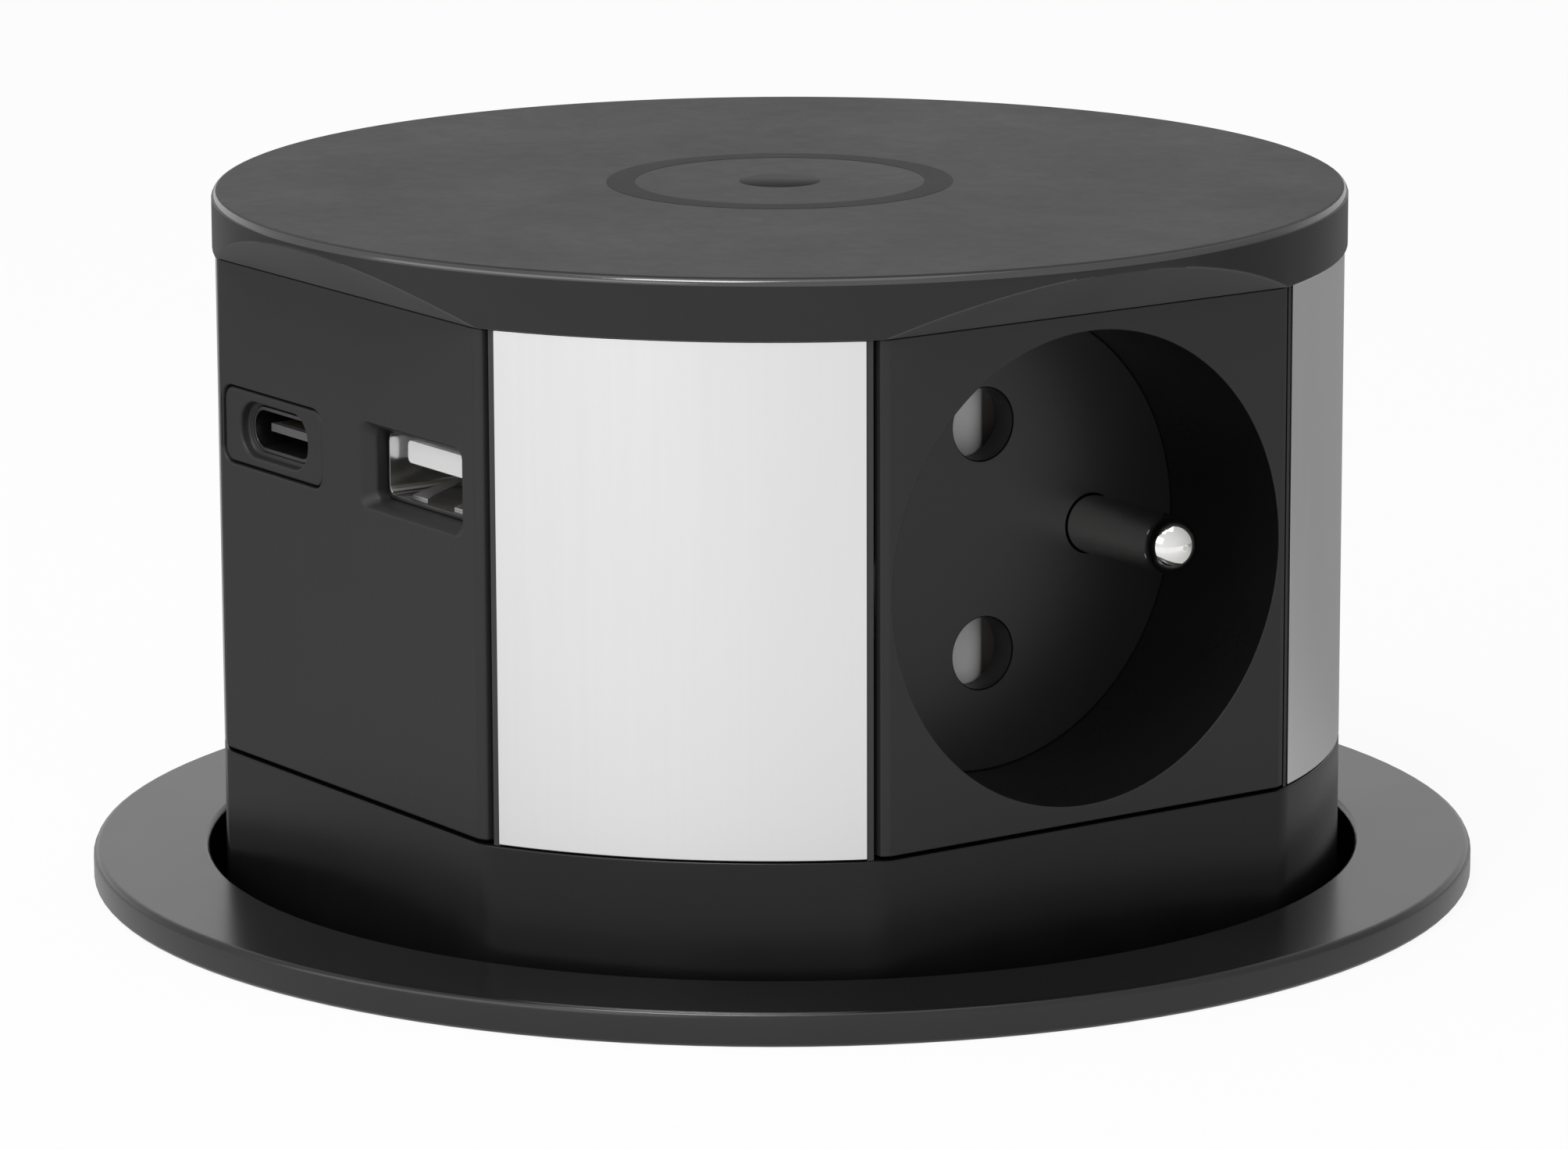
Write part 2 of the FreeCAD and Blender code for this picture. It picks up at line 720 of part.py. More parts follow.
def make_guide_bushes():
    def bush(name):
        outer = rod(name + "_outer", "bush_outer", "base_low", "base_low + bush_length", "rod_place")
        lip = rod(name + "_lip", "bush_outer + bush_lip", "base_cover_top",
                  "base_cover_top + bush_lip_height", "rod_place")
        bore = rod(name + "_bore", "rod_radius + bush_play", "base_low - tool_margin",
                   "base_low + bush_length + tool_margin", "rod_place")
        return cut(name, joined(name + "_blank", outer, lip), bore)

    group = doc.addObject("Part::Compound", "guide_bushes")
    group.Links = spun("guide_bush", bush, GUIDE_CORNERS)
    return keep(group, "guide_bushes")


def make_tower_screws():
    def screw(name):
        head = rod(name + "_head", "tower_screw_head_radius", "base_low",
                   "base_low + tower_screw_head_height", "rod_place")
        shank = rod(name + "_shank", "tower_screw_radius", "base_low + join_lap",
                    "plinth_top + tower_screw_bite", "rod_place")
        return joined(name, head, shank)

    group = doc.addObject("Part::Compound", "tower_screws")
    group.Links = spun("tower_screw", screw, SCREW_CORNERS)
    return keep(group, "tower_screws")


def corner_column(name, low, high, inner, outer):
    """The part of a disc that lies beyond two planes, in the corner between two faces."""
    disc = rod(name + "_disc", outer, low, high)
    square = box(name + "_square", (inner, "2 * tower_radius"), (inner, "2 * tower_radius"), (low, high))
    return overlap(name, disc, square)


def make_frame():
    def post(name):
        solid = corner_column(name + "_solid", "plinth_top", "face_high", "post_side",
                              "tower_radius - post_lip_drop")
        ring = corner_column(name + "_ring", "plinth_top - tool_margin", "face_high + tool_margin",
                             "panel_side - seat_play", "2 * tower_radius")
        core = rod(name + "_core", "post_outer", "plinth_top - tool_margin", "face_high + tool_margin")
        pocket = cut(name + "_pocket", ring, core)
        hollow = corner_column(name + "_hollow", "plinth_top - tool_margin", "face_high",
                               "post_side + post_wall", "post_outer - post_wall")
        top = corner_column(name + "_top", "face_high - join_lap", "face_high + join_lap",
                            "post_side + post_wall", "post_outer - post_wall / 2")
        shell = joined(name + "_shell", cut(name + "_wall", solid, pocket, hollow), top)
        return swung(shell, -45)

    def boss(name):
        return rod(name, "frame_boss_radius", "plinth_top",
                   "plinth_top + tower_screw_bite + frame_boss_roof", "rod_place")

    def pilot(name):
        return rod(name, "tower_screw_radius", "plinth_top - tool_margin",
                   "plinth_top + tower_screw_bite + fit_play", "rod_place")

    reach = "face_reach - cap_flat_wall - fit_play"
    disc = rod("deck_disc", "cap_radius - cap_wall - fit_play", "face_high", "face_high + frame_deck")
    square = box("deck_square", (f"0 - ({reach})", reach), (f"0 - ({reach})", reach),
                 ("face_high", "face_high + frame_deck"))
    deck = overlap("frame_top_deck", disc, square)
    posts = spun("frame_post", post, CORNERS.values())
    bosses = spun("frame_boss", boss, SCREW_CORNERS)
    webs = spun("frame_web", boss_web, SCREW_CORNERS)
    blank = joined("frame_blank", deck, *posts, *bosses, *webs)
    return keep(cut("tower_frame", blank, *spun("frame_pilot", pilot, SCREW_CORNERS)), "tower_frame")


def boss_web(name):
    """A rib that ties a screw boss to the outer wall of its post."""
    x = ("rod_place + (tower_screw_radius + frame_boss_radius) / 2", "post_outer - post_wall / 2")
    return box(name, x, ("0 - web_half_width", "web_half_width"),
               ("plinth_top", "plinth_top + tower_screw_bite + frame_boss_roof"))


def make_panels():
    for number, angle in CORNERS.items():
        name = f"corner_panel_{number}"
        low = "face_low - plinth_gap + panel_floor_gap"
        outer = corner_column(name + "_outer", low, "face_high", "panel_side", "tower_radius")
        core = rod(name + "_core", "panel_inner", f"{low} - tool_margin", "face_high + tool_margin")
        panel = cut(name, outer, core)
        keep(panel, name, angle - 45)


# The cap and what lies under it


def make_cap():
    low = "face_high"
    top = "face_high + cap_rim"
    under = "face_high - tool_margin"
    blank = turned("cap_blank", [
        ("0", low),
        ("cap_radius", low),
        ("cap_radius", f"{top} - cap_edge"),
        ("cap_radius - 0.3 * cap_edge", f"{top} - 0.3 * cap_edge"),
        ("cap_radius - cap_edge", top),
        ("0", top),
    ])
    reach = "face_reach - cap_flat_wall"
    disc = rod("cap_hollow_disc", "cap_radius - cap_wall", under, "cap_ceiling")
    square = box("cap_hollow_square", (f"0 - ({reach})", reach), (f"0 - ({reach})", reach),
                 (under, "cap_ceiling"))
    hollow = overlap("cap_hollow", disc, square)

    def undercut(name):
        body = doc.addObject("PartDesign::Body", name)
        sketch = outline(body, name + "_wedge", "XZ_Plane", [
            ("face_reach", low),
            ("2 * cap_radius - face_reach", f"{low} + 2 * undercut_rise"),
            ("2 * cap_radius - face_reach", under),
            ("face_reach", under),
        ])
        pad = body.newObject("PartDesign::Pad", name + "_pad")
        pad.Profile = sketch
        pad.SideType = "Symmetric"
        bind(pad, "Length", "2 * cap_radius")
        return body

    return keep(cut("cap", blank, hollow, *spun("cap_undercut", undercut, AXES)), "cap")


def make_charger():
    coil_low = "cap_ceiling - coil_thickness"
    coil = turned("charging_coil", [
        ("coil_inner", coil_low),
        ("coil_outer", coil_low),
        ("coil_outer", "cap_ceiling"),
        ("coil_inner", "cap_ceiling"),
    ])
    keep(coil, "charging_coil")
    shield = rod("ferrite_shield", "coil_outer + ferrite_margin", f"{coil_low} - ferrite_thickness",
                 coil_low)
    keep(shield, "ferrite_shield")
    side = ("0 - charger_board_half", "charger_board_half")
    board = box("charger_board", side, side, ("face_high - board_thickness", "face_high"))
    keep(board, "charger_board")


# One socket, drawn in a face's own frame: X points out of the face and Y to its right


def make_face_plate(name):
    low = "face_reach - face_plate"
    disc = rod(name + "_disc", "tower_radius", "face_low", "face_high")
    slab = box(name + "_slab", (low, "face_reach"), ("0 - face_half_width", "face_half_width"),
               ("face_low", "face_high"))
    return overlap(name, disc, slab)


def make_socket_insert(number, angle):
    name = f"socket_insert_{number}"
    plate = make_face_plate(name + "_plate")
    cup = pin(name + "_cup", "well_radius + well_wall", "well_back", "face_reach - face_plate / 2",
              0, "well_height")
    floor_face = "face_reach - well_depth"
    well = pin(name + "_well", "well_radius", floor_face, "face_reach + tool_margin", 0, "well_height")
    behind = "well_back - tool_margin"
    before = f"{floor_face} + tool_margin"
    edge = doc.addObject("Part::Cone", name + "_edge")
    turn(edge, (0, 1, 0), 90)
    bind(edge, "Radius1", "well_radius - well_edge")
    bind(edge, "Radius2", "well_radius + well_edge")
    bind(edge, "Height", "2 * well_edge")
    place(edge, "face_reach - well_edge", 0, "well_height")
    tools = [well, edge]
    for side, sign in (("low", "-"), ("high", "+")):
        height = f"well_height {sign} hole_spacing / 2"
        tools.append(pin(f"{name}_hole_{side}", "hole_radius", behind, before, 0, height))
    tools.append(pin(name + "_earth_hole", "earth_radius + seat_play", behind, before,
                     "earth_offset", "well_height"))
    keep(cut(name, joined(name + "_blank", plate, cup), *tools), name, angle)


def make_earth_pin(number, angle):
    name = f"earth_pin_{number}"
    dome_middle = "face_reach - earth_below_face - earth_radius"
    shank = pin(name + "_shank", "earth_radius", "carrier_back", dome_middle,
                "earth_offset", "well_height")
    dome = doc.addObject("Part::Sphere", name + "_dome")
    turn(dome, (0, 1, 0), 90)
    bind(dome, "Radius", "earth_radius")
    place(dome, dome_middle, "earth_offset", "well_height")
    collar = pin(name + "_collar", "earth_radius + earth_collar_step", "carrier_face",
                 "carrier_face + earth_collar_thickness", "earth_offset", "well_height")
    keep(joined(name, shank, dome, collar), name, angle)


def make_carrier(number, angle):
    name = f"contact_carrier_{number}"
    before = "carrier_face + tool_margin"
    z = ("well_height - carrier_half_height", "well_height + carrier_half_height")
    plate = box(name + "_plate", ("carrier_back", "carrier_face"),
                ("0 - carrier_half_width", "carrier_half_width"), z)
    side = "chamber_half_width + chamber_wall"
    block = box(name + "_block", ("chamber_reach", "carrier_face"), (f"0 - ({side})", side), z)
    pillars = []
    tools = []
    for row, up in (("low", "-"), ("high", "+")):
        for column, across in (("left", "-"), ("right", "")):
            pillars.append(pin(f"{name}_pillar_{row}_{column}", "carrier_pillar_radius",
                               "carrier_back", "well_back", f"{across}pillar_place",
                               f"well_height {up} carrier_pillar_up"))
        middle = f"well_height {up} hole_spacing / 2"
        tools.append(box(f"{name}_chamber_{row}", ("chamber_reach + chamber_wall", before),
                         ("0 - chamber_half_width", "chamber_half_width"),
                         (f"{middle} - chamber_half_height", f"{middle} + chamber_half_height")))
    tools.append(pin(name + "_earth_way", "earth_radius + seat_play", "carrier_back - tool_margin",
                     before, "earth_offset", "well_height"))
    keep(cut(name, joined(name + "_blank", plate, block, *pillars), *tools), name, angle)


def make_contacts(number, angle):
    name = f"pin_contacts_{number}"
    back = "chamber_reach + chamber_wall"
    mouth = "carrier_face - clip_mouth_gap"
    clips = []
    for row, up in (("low", "-"), ("high", "+")):
        middle = f"well_height {up} hole_spacing / 2"
        z = (f"{middle} - clip_half_height", f"{middle} + clip_half_height")
        outer = box(f"{name}_strip_{row}", (back, mouth), ("0 - clip_half_width", "clip_half_width"), z)
        inner = "clip_half_width - clip_strip"
        gap = box(f"{name}_gap_{row}", (f"{back} + clip_strip", "carrier_face"),
                  (f"0 - ({inner})", inner), (f"{z[0]} - tool_margin", f"{z[1]} + tool_margin"))
        clips.append(cut(f"{name}_{row}", outer, gap))
    group = doc.addObject("Part::Compound", name)
    group.Links = clips
    keep(group, name, angle)


def make_shutter(number, angle):
    name = f"shutter_{number}"
    front = "well_back - shutter_play"
    back = f"{front} - shutter_depth"
    wedge = prism(name, [
        (back, "0 - shutter_half_width"),
        (front, "0 - shutter_half_width"),
        (front, "0 - shutter_flat"),
        (back, "shutter_half_width"),
    ], "well_height - shutter_half_height", "well_height + shutter_half_height")
    keep(wedge, name, angle)


# The USB face


def rounded_block(name, x, middle, width, height, corner):
    """A block along X whose section is a rectangle with round corners."""
    body = doc.addObject("PartDesign::Body", name)
    sketch = outline(body, name + "_section", "YZ_Plane", [
        (f"{middle} - {width} / 2", f"usb_height - {height} / 2"),
        (f"{middle} + {width} / 2", f"usb_height - {height} / 2"),
        (f"{middle} + {width} / 2", f"usb_height + {height} / 2"),
        (f"{middle} - {width} / 2", f"usb_height + {height} / 2"),
    ], x[0])
    pad = body.newObject("PartDesign::Pad", name + "_pad")
    pad.Profile = sketch
    bind(pad, "Length", f"({x[1]}) - ({x[0]})")
    doc.recompute()
    long_edges = [f"Edge{number}" for number, edge in enumerate(pad.Shape.Edges, 1)
                  if abs(edge.tangentAt(edge.FirstParameter).x) > 0.9]
    rounding = body.newObject("PartDesign::Fillet", name + "_round")
    rounding.Base = (pad, long_edges)
    bind(rounding, "Radius", corner)
    return body


def mouth_section(body, name, side_bevel, top_bevel, reach):
    """One outline of the USB-A recess, smaller than its mouth by the bevels."""
    half_width = f"(usb_a_mouth_width / 2 - {side_bevel})"
    half_height = f"(usb_a_mouth_height / 2 - {top_bevel})"
    return outline(body, name, "YZ_Plane", [
        (f"usb_a_middle - {half_width}", f"usb_height - {half_height}"),
        (f"usb_a_middle + {half_width}", f"usb_height - {half_height}"),
        (f"usb_a_middle + {half_width}", f"usb_height + {half_height}"),
        (f"usb_a_middle - {half_width}", f"usb_height + {half_height}"),
    ], reach)


def bevelled_mouth(name):
    """The USB-A recess, which narrows inwards to the port's own opening."""
    body = doc.addObject("PartDesign::Body", name)
    deep = mouth_section(body, name + "_deep", "usb_a_bevel_side", "usb_a_bevel_top",
                         "face_reach - usb_a_bevel_side")
    opening = mouth_section(body, name + "_open", "0", "0", "face_reach")
    outside = mouth_section(body, name + "_outside", "0", "0", "face_reach + tool_margin")
    loft = body.newObject("PartDesign::AdditiveLoft", name + "_loft")
    loft.Profile = deep
    loft.Sections = [opening, outside]
    loft.Ruled = True
    return body


def centred(middle, width):
    return (f"{middle} - ({width}) / 2", f"{middle} + ({width}) / 2")


def make_usb_insert():
    plate = make_face_plate("usb_insert_plate")
    back = "face_reach - face_plate - tool_margin"
    c_hole = rounded_block("usb_c_window", (back, "face_reach + tool_margin"), "usb_c_middle",
                           "(usb_c_width + 2 * usb_c_gap)", "(usb_c_height + 2 * usb_c_gap)",
                           "usb_c_corner + usb_c_gap")
    a_hole = box("usb_a_hole", (back, "face_reach"), centred("usb_a_middle", "usb_a_hole_width"),
                 centred("usb_height", "usb_a_hole_height"))
    keep(cut("usb_insert", plate, c_hole, bevelled_mouth("usb_a_mouth"), a_hole), "usb_insert",
         USB_FACE)


def make_usb_c():
    back = "face_reach - face_plate"
    over = "face_reach + tool_margin"
    end_round = "usb_c_shell_height / 2.02"
    bezel = rounded_block("usb_c_block", (back, "face_reach - usb_c_stand"), "usb_c_middle",
                          "usb_c_width", "usb_c_height", "usb_c_corner")
    way = rounded_block("usb_c_way", (f"{back} - tool_margin", over), "usb_c_middle",
                        "usb_c_shell_width", "usb_c_shell_height", end_round)
    mouth = rounded_block("usb_c_mouth", ("usb_c_front", over), "usb_c_middle",
                          "usb_c_mouth_width", "usb_c_mouth_height", "usb_c_mouth_height / 2.02")
    keep(cut("usb_c_bezel", bezel, way, mouth), "usb_c_bezel", USB_FACE)
    rear = "usb_c_front - usb_c_length"
    inside = f"{rear} + usb_shell_back"
    shell = rounded_block("usb_c_shell", (rear, "usb_c_front"), "usb_c_middle",
                          "usb_c_shell_width", "usb_c_shell_height", end_round)
    slot = rounded_block("usb_c_slot", (inside, over), "usb_c_middle",
                         "usb_c_slot_width", "usb_c_slot_height", "usb_c_slot_height / 2.02")
    keep(cut("usb_c_port", shell, slot), "usb_c_port", USB_FACE)
    tongue = box("usb_c_tongue", (inside, "usb_c_front - usb_c_tongue_setback"),
                 centred("usb_c_middle", "usb_c_slot_width - 2 * usb_c_tongue_side"),
                 centred("usb_height", "usb_c_tongue_thickness"))
    keep(tongue, "usb_c_tongue", USB_FACE)


def make_usb_a():
    rear = "usb_a_front - usb_a_length"
    inside = f"{rear} + usb_shell_back"
    shell = box("usb_a_shell", (rear, "usb_a_front"),
                centred("usb_a_middle", "usb_a_slot_width + 2 * usb_shell"),
                centred("usb_height", "usb_a_slot_height + 2 * usb_shell"))
    slot = box("usb_a_slot", (inside, "usb_a_front + tool_margin"),
               centred("usb_a_middle", "usb_a_slot_width"), centred("usb_height", "usb_a_slot_height"))
    keep(cut("usb_a_port", shell, slot), "usb_a_port", USB_FACE)
    top = "usb_height + usb_a_slot_height / 2 - usb_a_tongue_drop"
    tongue = box("usb_a_tongue", (inside, "usb_a_front - usb_a_tongue_setback"),
                 centred("usb_a_middle", "usb_a_slot_width - 2 * usb_a_tongue_side"),
                 (f"{top} - usb_a_tongue_thickness", top))
    keep(tongue, "usb_a_tongue", USB_FACE)


def make_usb_board():
    front = "face_reach - face_plate - fit_play"
    half = "post_side - usb_board_side_play"
    low = "usb_a_floor - board_thickness"
    board = box("usb_board", ("usb_board_back", front), (f"0 - ({half})", half), (low, "usb_a_floor"))
    keep(board, "usb_board", USB_FACE)
    inner = "usb_board_back + part_gap"
    coil = box("usb_transformer", (inner, f"{inner} + transformer_length"),
               ("0 - transformer_width", "0"), (f"{low} - transformer_height", low))
    keep(coil, "usb_transformer", USB_FACE)
    cans = doc.addObject("Part::Compound", "usb_capacitors")
    cans.Links = [rod(f"usb_capacitor_{side}", "capacitor_radius", f"{low} - capacitor_height", low,
                      f"{inner} + part_gap + capacitor_radius", across)
                  for side, across in (("near", "capacitor_radius + 2 * part_gap"),
                                       ("far", "3 * capacitor_radius + 3 * part_gap"))]
    keep(cans, "usb_capacitors", USB_FACE)


def make_terminals():
    z = ("base_cover_top", "base_cover_top + terminal_height")
    block = box("terminal_blank", centred("0", "terminal_width"),
                centred("0 - terminal_place", "terminal_depth"), z)
    tools = []
    for number, across in enumerate(("0 - terminal_width / 3", "0", "terminal_width / 3"), 1):
        tools.append(rod(f"terminal_way_{number}", "terminal_wire_radius",
                         "base_cover_top + terminal_floor", f"{z[1]} + tool_margin",
                         across, "0 - terminal_place"))
    keep(cut("terminal_block", block, *tools), "terminal_block")


def make_striker():
    striker = rod("striker", "striker_radius", "base_low - striker_height", "base_low",
                  0, "catch_place")
    return keep(striker, "striker")


def build():
    fill_sheet()
    make_barrel()
    make_gasket()
    make_clamp_nut()
    make_floor_plate()
    make_floor_cover()
    make_floor_screws()
    make_guide_rods()
    make_lift_spring()
    make_inlet_grommet()
    make_catch()
    make_base()
    make_base_cover()
    make_guide_bushes()
    make_tower_screws()
    make_frame()
    make_panels()
    make_cap()
    make_charger()
    for number, angle in FACES.items():
        make_socket_insert(number, angle)
        make_earth_pin(number, angle)
        make_carrier(number, angle)
        make_contacts(number, angle)
        make_shutter(number, angle)
    make_usb_insert()
    make_usb_c()
    make_usb_a()
    make_usb_board()
    make_terminals()
    make_striker()


def check_and_write():
    doc.recompute()
    faults = []
    for thing in doc.Objects:
        if "Invalid" in thing.State or "Error" in thing.State:
            faults.append(f"{thing.Name}: {thing.State}")
    for thing in made:
        if thing.Shape.isNull() or not thing.Shape.isValid():
            faults.append(f"{thing.Label}: no valid shape")
    if faults:
        print("\n".join(faults))
        sys.exit(1)
    os.makedirs("parts", exist_ok=True)
    for thing in made:
        thing.Shape.exportStep(f"parts/{thing.Label}.step")
        box_of = thing.Shape.BoundBox
        print(f"{thing.Label}: {len(thing.Shape.Solids)} solids, {thing.Shape.Volume:.0f} mm3, "
              f"z {box_of.ZMin:.2f} to {box_of.ZMax:.2f}")


build()
check_and_write()
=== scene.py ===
import json
import math

import bmesh
import bpy
from mathutils import Matrix, Vector


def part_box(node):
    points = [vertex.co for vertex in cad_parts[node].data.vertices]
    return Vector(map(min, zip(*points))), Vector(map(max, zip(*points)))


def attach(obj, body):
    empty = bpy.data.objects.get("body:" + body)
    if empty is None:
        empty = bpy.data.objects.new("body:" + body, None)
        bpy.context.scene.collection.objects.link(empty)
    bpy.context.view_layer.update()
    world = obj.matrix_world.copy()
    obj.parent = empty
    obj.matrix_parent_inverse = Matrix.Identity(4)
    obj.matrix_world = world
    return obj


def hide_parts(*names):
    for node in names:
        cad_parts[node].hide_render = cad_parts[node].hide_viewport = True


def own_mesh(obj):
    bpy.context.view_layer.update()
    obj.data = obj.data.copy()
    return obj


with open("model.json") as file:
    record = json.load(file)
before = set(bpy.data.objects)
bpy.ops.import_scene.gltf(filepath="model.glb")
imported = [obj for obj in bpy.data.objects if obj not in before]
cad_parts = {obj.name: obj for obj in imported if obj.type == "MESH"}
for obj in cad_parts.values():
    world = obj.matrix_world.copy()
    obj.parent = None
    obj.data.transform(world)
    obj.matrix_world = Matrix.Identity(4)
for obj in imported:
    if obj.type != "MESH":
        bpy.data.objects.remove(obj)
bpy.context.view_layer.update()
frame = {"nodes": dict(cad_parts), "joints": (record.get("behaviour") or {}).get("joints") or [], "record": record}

MM = 0.001

# Corners and reaches of pieces, read from the frame. The floor cover is as wide as the barrel.
CAP_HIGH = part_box("cap")[1]
FLANGE_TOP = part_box("flanged_barrel")[1].z
BARREL_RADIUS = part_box("floor_cover")[1].x
SPRING_LOW, SPRING_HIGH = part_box("lift_spring")
PORT_A_LOW, PORT_A_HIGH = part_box("usb_a_port")
TONGUE_A_LOW, TONGUE_A_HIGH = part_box("usb_a_tongue")
TONGUE_C_LOW, TONGUE_C_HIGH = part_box("usb_c_tongue")
PIN_LOW, PIN_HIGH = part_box("earth_pin_1")
FACE_REACH = -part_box("socket_insert_1")[0].y
WORKTOP = 0.0
TRAVEL = next(joint["range_m"][0] for joint in frame["joints"] if joint["name"] == "tower_lift")

# The camera, as it was found from the circles of the cap, the tower and the flange
AIM = Vector((0, 0, FLANGE_TOP))
CAMERA_AZIMUTH = math.radians(-34.84)
CAMERA_ELEVATION = math.radians(14.24)
CAMERA_DISTANCE = 630.4 * MM
CAMERA_TILT = math.radians(1.963)
CAMERA_PAN = math.radians(-0.022)
CAMERA_ROLL = math.radians(0.21)
SENSOR = 36.0
IMAGE_WIDTH = 2008
FOCAL_PIXELS = 9470


def bearing_from_front(azimuth, elevation):
    """The unit vector that points from the tower to an azimuth and an elevation in radians."""
    return Vector((math.sin(azimuth) * math.cos(elevation),
                   -math.cos(azimuth) * math.cos(elevation),
                   math.sin(elevation)))


def make_camera():
    data = bpy.data.cameras.new("photo_camera")
    camera = bpy.data.objects.new("photo_camera", data)
    bpy.context.scene.collection.objects.link(camera)
    data.sensor_width = SENSOR
    data.lens = SENSOR * FOCAL_PIXELS / IMAGE_WIDTH
    data.clip_start = 0.01
    data.clip_end = 50
    out = bearing_from_front(CAMERA_AZIMUTH, CAMERA_ELEVATION)
    right = Vector((math.cos(CAMERA_AZIMUTH), math.sin(CAMERA_AZIMUTH), 0))
    up = out.cross(right)
    tilt = Matrix.Rotation(CAMERA_TILT, 3, right)
    back = tilt @ out
    up = tilt @ up
    pan = Matrix.Rotation(CAMERA_PAN, 3, up)
    back = pan @ back
    right = pan @ right
    roll = Matrix.Rotation(CAMERA_ROLL, 3, -back)
    right = roll @ right
    up = roll @ up
    turn = Matrix((right, up, back)).transposed().to_4x4()
    camera.matrix_world = Matrix.Translation(out * CAMERA_DISTANCE + AIM) @ turn
    bpy.context.scene.camera = camera


class Tone:
    """A value in a material, with the arithmetic that the finishes are written in."""

    def __init__(self, finish, socket):
        self.finish = finish
        self.socket = socket

    def math(self, operation, *others):
        return self.finish.node("ShaderNodeMath", {"operation": operation},
                                {0: self, **dict(enumerate(others, 1))})

    def __add__(self, other):
        return self.math("ADD", other)

    __radd__ = __add__

    def __mul__(self, other):
        return self.math("MULTIPLY", other)

    __rmul__ = __mul__

    def __sub__(self, other):
        return self.math("SUBTRACT", other)

    def __rsub__(self, other):
        return self.finish.node("ShaderNodeMath", {"operation": "SUBTRACT"}, {0: other, 1: self})

    def __pow__(self, other):
        return self.math("POWER", other)

    def band(self, low, high):
        """0 below low, 1 above high, and a smooth ramp between."""
        return self.finish.node("ShaderNodeMapRange", {"interpolation_type": "SMOOTHSTEP"},
                                {"Value": self, "From Min": low, "From Max": high})

    def ramp(self, low, high):
        """0 below low, 1 above high, and a straight ramp between."""
        return self.finish.node("ShaderNodeMapRange", None,
                                {"Value": self, "From Min": low, "From Max": high})


class Nodes:
    """A node tree that is written to by name."""

    def __init__(self, tree):
        self.tree = tree

    def node(self, kind, settings=None, inputs=None, out=0):
        """Any node: its type, its settings, and the values or links of its sockets."""
        made = self.tree.nodes.new(kind)
        for key, value in (settings or {}).items():
            setattr(made, key, value)
        for key, value in (inputs or {}).items():
            self.feed(made.inputs[key], value)
        return None if out is None else Tone(self, made.outputs[out])

    def feed(self, socket, value):
        if isinstance(value, Tone):
            self.tree.links.new(value.socket, socket)
        else:
            socket.default_value = value


class Finish(Nodes):
    """One procedural material."""

    def __init__(self, name, **shader):
        self.material = bpy.data.materials.new(name)
        self.material.use_nodes = True
        super().__init__(self.material.node_tree)
        self.shader = self.tree.nodes["Principled BSDF"]
        self.output = self.tree.nodes["Material Output"]
        for key, value in shader.items():
            self.shader.inputs[key.replace("_", " ")].default_value = value

    def give(self, name, value):
        self.feed(self.shader.inputs[name], value)

    def place(self, stretch=(1, 1, 1)):
        """The point on the object, in metres, stretched along its axes."""
        spot = self.node("ShaderNodeTexCoord", out="Object")
        return self.node("ShaderNodeVectorMath", {"operation": "MULTIPLY"}, {0: spot, 1: stretch})

    def noise(self, size, detail=2.0, stretch=(1, 1, 1), rough=0.5):
        """Noise whose blotches are about size metres across."""
        return self.node("ShaderNodeTexNoise", {"noise_dimensions": "3D"},
                         {"Vector": self.place(stretch), "Scale": 1 / size, "Detail": detail,
                          "Roughness": rough})

    def cells(self, size):
        """Distance to the nearest of a scatter of points about size metres apart."""
        return self.node("ShaderNodeTexVoronoi", {"feature": "F1"},
                         {"Vector": self.place(), "Scale": 1 / size}, out="Distance")

    def axis(self, letter):
        """One coordinate of the point on the object, in metres."""
        return self.node("ShaderNodeSeparateXYZ", None, {0: self.place()}, out=letter)

    def colours(self, factor, low, high):
        return self.node("ShaderNodeMix", {"data_type": "RGBA"},
                         {"Factor": factor, "A": (*low, 1), "B": (*high, 1)}, out="Result")

    def bump(self, height, depth):
        """A bump whose full height is depth metres."""
        normal = self.node("ShaderNodeBump", None, {"Height": height, "Distance": depth,
                                                    "Strength": 1.0}, out="Normal")
        self.give("Normal", normal)


def grey(level, warm=0.0):
    """A near-neutral colour: level, with a little more red than blue if warm is above 0."""
    return (level * (1 + warm), level, level * (1 - warm))


def grained_plastic(name, level, spread, rough, grain, depth, warm=0.0, gloss=0.5):
    """Moulded plastic with an etched grain: a pebble in bump, a soft mottling in the colour."""
    finish = Finish(name, Specular_IOR_Level=gloss)
    mottle = finish.noise(9 * MM, 3.0)
    pebble = finish.noise(grain, 3.0, rough=0.6)
    pits = finish.cells(grain * 1.4)
    finish.give("Base Color", finish.colours(mottle * 0.6 + pebble * 0.4,
                                             grey(level - spread, warm),
                                             grey(level + spread, warm)))
    finish.give("Roughness", rough + (mottle - 0.5) * 0.08 + (pebble - 0.5) * 0.1)
    finish.bump(pebble * 0.6 + pits * 0.4, depth)
    return finish.material


def make_cap_finish():
    """Charcoal satin on top of the cap: a fine sparkling grain over a soft, cloudy mottling."""
    finish = Finish("charcoal_cap", Specular_IOR_Level=0.26)
    cloud = finish.noise(13 * MM, 4.0, rough=0.6)
    mottle = finish.noise(1.6 * MM, 3.0, rough=0.6)
    grain = finish.noise(0.3 * MM, 2.0, rough=0.7)
    finish.give("Base Color", finish.colours(cloud * 0.45 + mottle * 0.25 + grain * 0.3,
                                             grey(0.006), grey(0.034)))
    finish.give("Roughness", 0.50 + (cloud - 0.5) * 0.16 + (mottle - 0.5) * 0.1)
    finish.bump(grain * 0.7 + mottle * 0.3, 0.014 * MM)
    return finish.material


